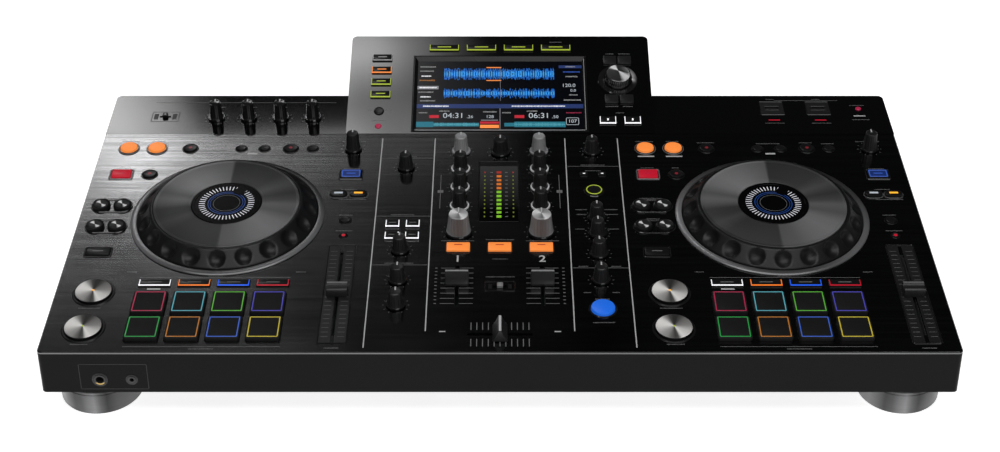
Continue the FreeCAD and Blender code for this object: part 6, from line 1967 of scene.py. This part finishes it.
CARDS = (
    Card("strip_card", (0.0, 0.2), (0.0, 0.157), 6.2,
         ((0.0, 0.0), (0.1, 0.02), (0.18, 0.06), (0.25, 0.19), (0.55, 0.58), (0.6, 0.6), (1.0, 0.5)),
         ((0.0, 0.9), (0.89, 0.95), (1.0, 0.85))),
    Card("panel_card", (-0.25, 0.36), (0.168, 0.5), 14.0,
         ((0.0, 0.02), (0.23, 0.08), (0.279, 0.12), (0.311, 0.14), (0.41, 0.22), (0.459, 0.28), (0.557, 0.8),
          (0.623, 1.0), (0.666, 0.4), (0.738, 0.42), (0.852, 0.6), (1.0, 0.5)),
         ((0.0, 0.8), (0.015, 1.0), (0.045, 1.0), (0.07, 0.6), (0.096, 0.15), (0.125, 0.07), (0.186, 0.065),
          (0.337, 0.055), (0.488, 0.02), (0.578, 0.012), (1.0, 0.004))),
    Card("display_card", (0.0, 0.26), (0.56, 1.0), 9.3,
         ((0.0, 0.0), (0.154, 0.085), (0.27, 0.2), (0.385, 0.42), (0.54, 0.5), (0.69, 1.0), (1.0, 1.0)),
         ((0.0, 0.0), (0.18, 0.6), (0.25, 0.8), (0.295, 1.0), (0.364, 0.45), (0.42, 0.22), (0.53, 0.36),
          (1.0, 0.3))),
)


@dataclass
class Studio:
    """Pale floor, soft lights and the camera."""

    camera_place: tuple[float, float, float] = (0.0, -1.3037, 0.9257)
    camera_pitch: float = 34.524
    lens: float = 62.9
    sensor: float = 36.0
    card_low: tuple[float, float, float] = (-0.71, 2.06, 1.19)
    card_high: tuple[float, float, float] = (0.25, 0.78, 2.48)
    card_reach: tuple[float, float, float] = (-2.2, -0.35, 0.0)

    def floor(self) -> None:
        """Wide pale floor."""
        mesh = bpy.data.meshes.new("floor")
        reach = 9.0
        mesh.from_pydata([(-reach, -reach, 0), (reach, -reach, 0), (reach, reach, 0), (-reach, reach, 0)], [],
                         [(0, 1, 2, 3)])
        mesh.materials.append(WORKSHOP.material(FLOOR))
        stand("floor", mesh)

    @staticmethod
    def light(name: str, place: Sequence[float], target: Sequence[float], size: Point, power: float) -> None:
        """Soft rectangular light.

        Args:
            name: name of the light.
            place: where it stands.
            target: what it faces.
            size: width and height.
            power: power in watts.
        """
        lamp_data = bpy.data.lights.new(name, "AREA")
        lamp_data.shape = "RECTANGLE"
        lamp_data.size, lamp_data.size_y = size
        lamp_data.energy = power
        aim = (Vector(target) - Vector(place)).to_track_quat("-Z", "Y").to_matrix().to_4x4()
        stand(name, lamp_data).matrix_world = Matrix.Translation(place) @ aim

    def lights(self) -> None:
        """Overhead soft box, front fill and a faint world."""
        self.light("overhead", (0.1, -1.1, 2.3), (0.0, -0.1, 0.0), (3.0, 1.2), 36.0)
        self.light("front_fill", (0.9, -2.4, 1.5), (0.0, -0.1, 0.05), (1.6, 1.0), 8.0)
        world = bpy.data.worlds.new("studio")
        world.use_nodes = True
        Tree(world.node_tree).fill(world.node_tree.nodes["Background"], {
            "Color": (0.9, 0.93, 1.0, 1.0), "Strength": 0.013})
        bpy.context.scene.world = world
        bpy.context.scene.view_settings.view_transform = "Standard"

    def card(self, part: Card) -> None:
        """Part of the bright card behind the console on the left, which the glossy faces mirror.

        Args:
            part: the part of the card plane.
        """
        low, reach = Vector(self.card_low), Vector(self.card_reach)
        rise = Vector(self.card_high) - low
        turns = ((0, 0), (1, 0), (1, 1), (0, 1))
        mesh = bpy.data.meshes.new(part.name)
        mesh.from_pydata([tuple(low + reach * part.side[side] + rise * part.rise[end])
                          for side, end in turns], [],
                         [(0, 1, 2, 3)])
        for loop, place in zip(mesh.uv_layers.new(name="card").data, turns):
            loop.uv = place
        material = bpy.data.materials.new(part.name)
        material.use_nodes = True
        nodes = material.node_tree.nodes
        nodes.remove(nodes["Principled BSDF"])
        tree = Tree(material.node_tree)
        where = tree.node("ShaderNodeTexCoord", output="UV")
        axes = tree.node("ShaderNodeSeparateXYZ", {0: where}).node.outputs
        light = tree.math("MULTIPLY", tree.ramp(axes["X"], part.across), tree.ramp(axes["Y"], part.up))
        glow = tree.node("ShaderNodeEmission", {"Strength": tree.math("MULTIPLY", light, part.power)})
        tree.fill(nodes["Material Output"], {"Surface": glow})
        mesh.materials.append(material)
        card = stand(part.name, mesh)
        card.visible_camera = False

    def camera(self) -> None:
        """Camera at the photograph's place."""
        data = bpy.data.cameras.new("camera")
        data.lens = self.lens
        data.sensor_width = self.sensor
        data.clip_start = 0.05
        holder = stand("camera", data)
        holder.location = self.camera_place
        holder.rotation_euler = (math.radians(90.0 - self.camera_pitch), 0.0, 0.0)
        bpy.context.scene.camera = holder

    def build(self) -> None:
        """Set the stage."""
        self.floor()
        for part in CARDS:
            self.card(part)
        self.lights()
        self.camera()


def main() -> None:
    """Build the looks of the console in order."""
    logging.basicConfig(level=logging.INFO, format="%(name)s: %(message)s")
    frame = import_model()
    console = Console({joint["name"]: joint for joint in frame["joints"]}, frame["record"], Patterns())
    Body(console).build(frame["nodes"])
    for side in console.decks:
        Jog(console, side).build()
        Deck(console, side).build()
    Knobs(console).build()
    Sliders(console).build()
    Mixer(console).build()
    Display(console).build()
    Studio().build()
    LOG.info("finished")


if __name__ == "__main__":
    main()
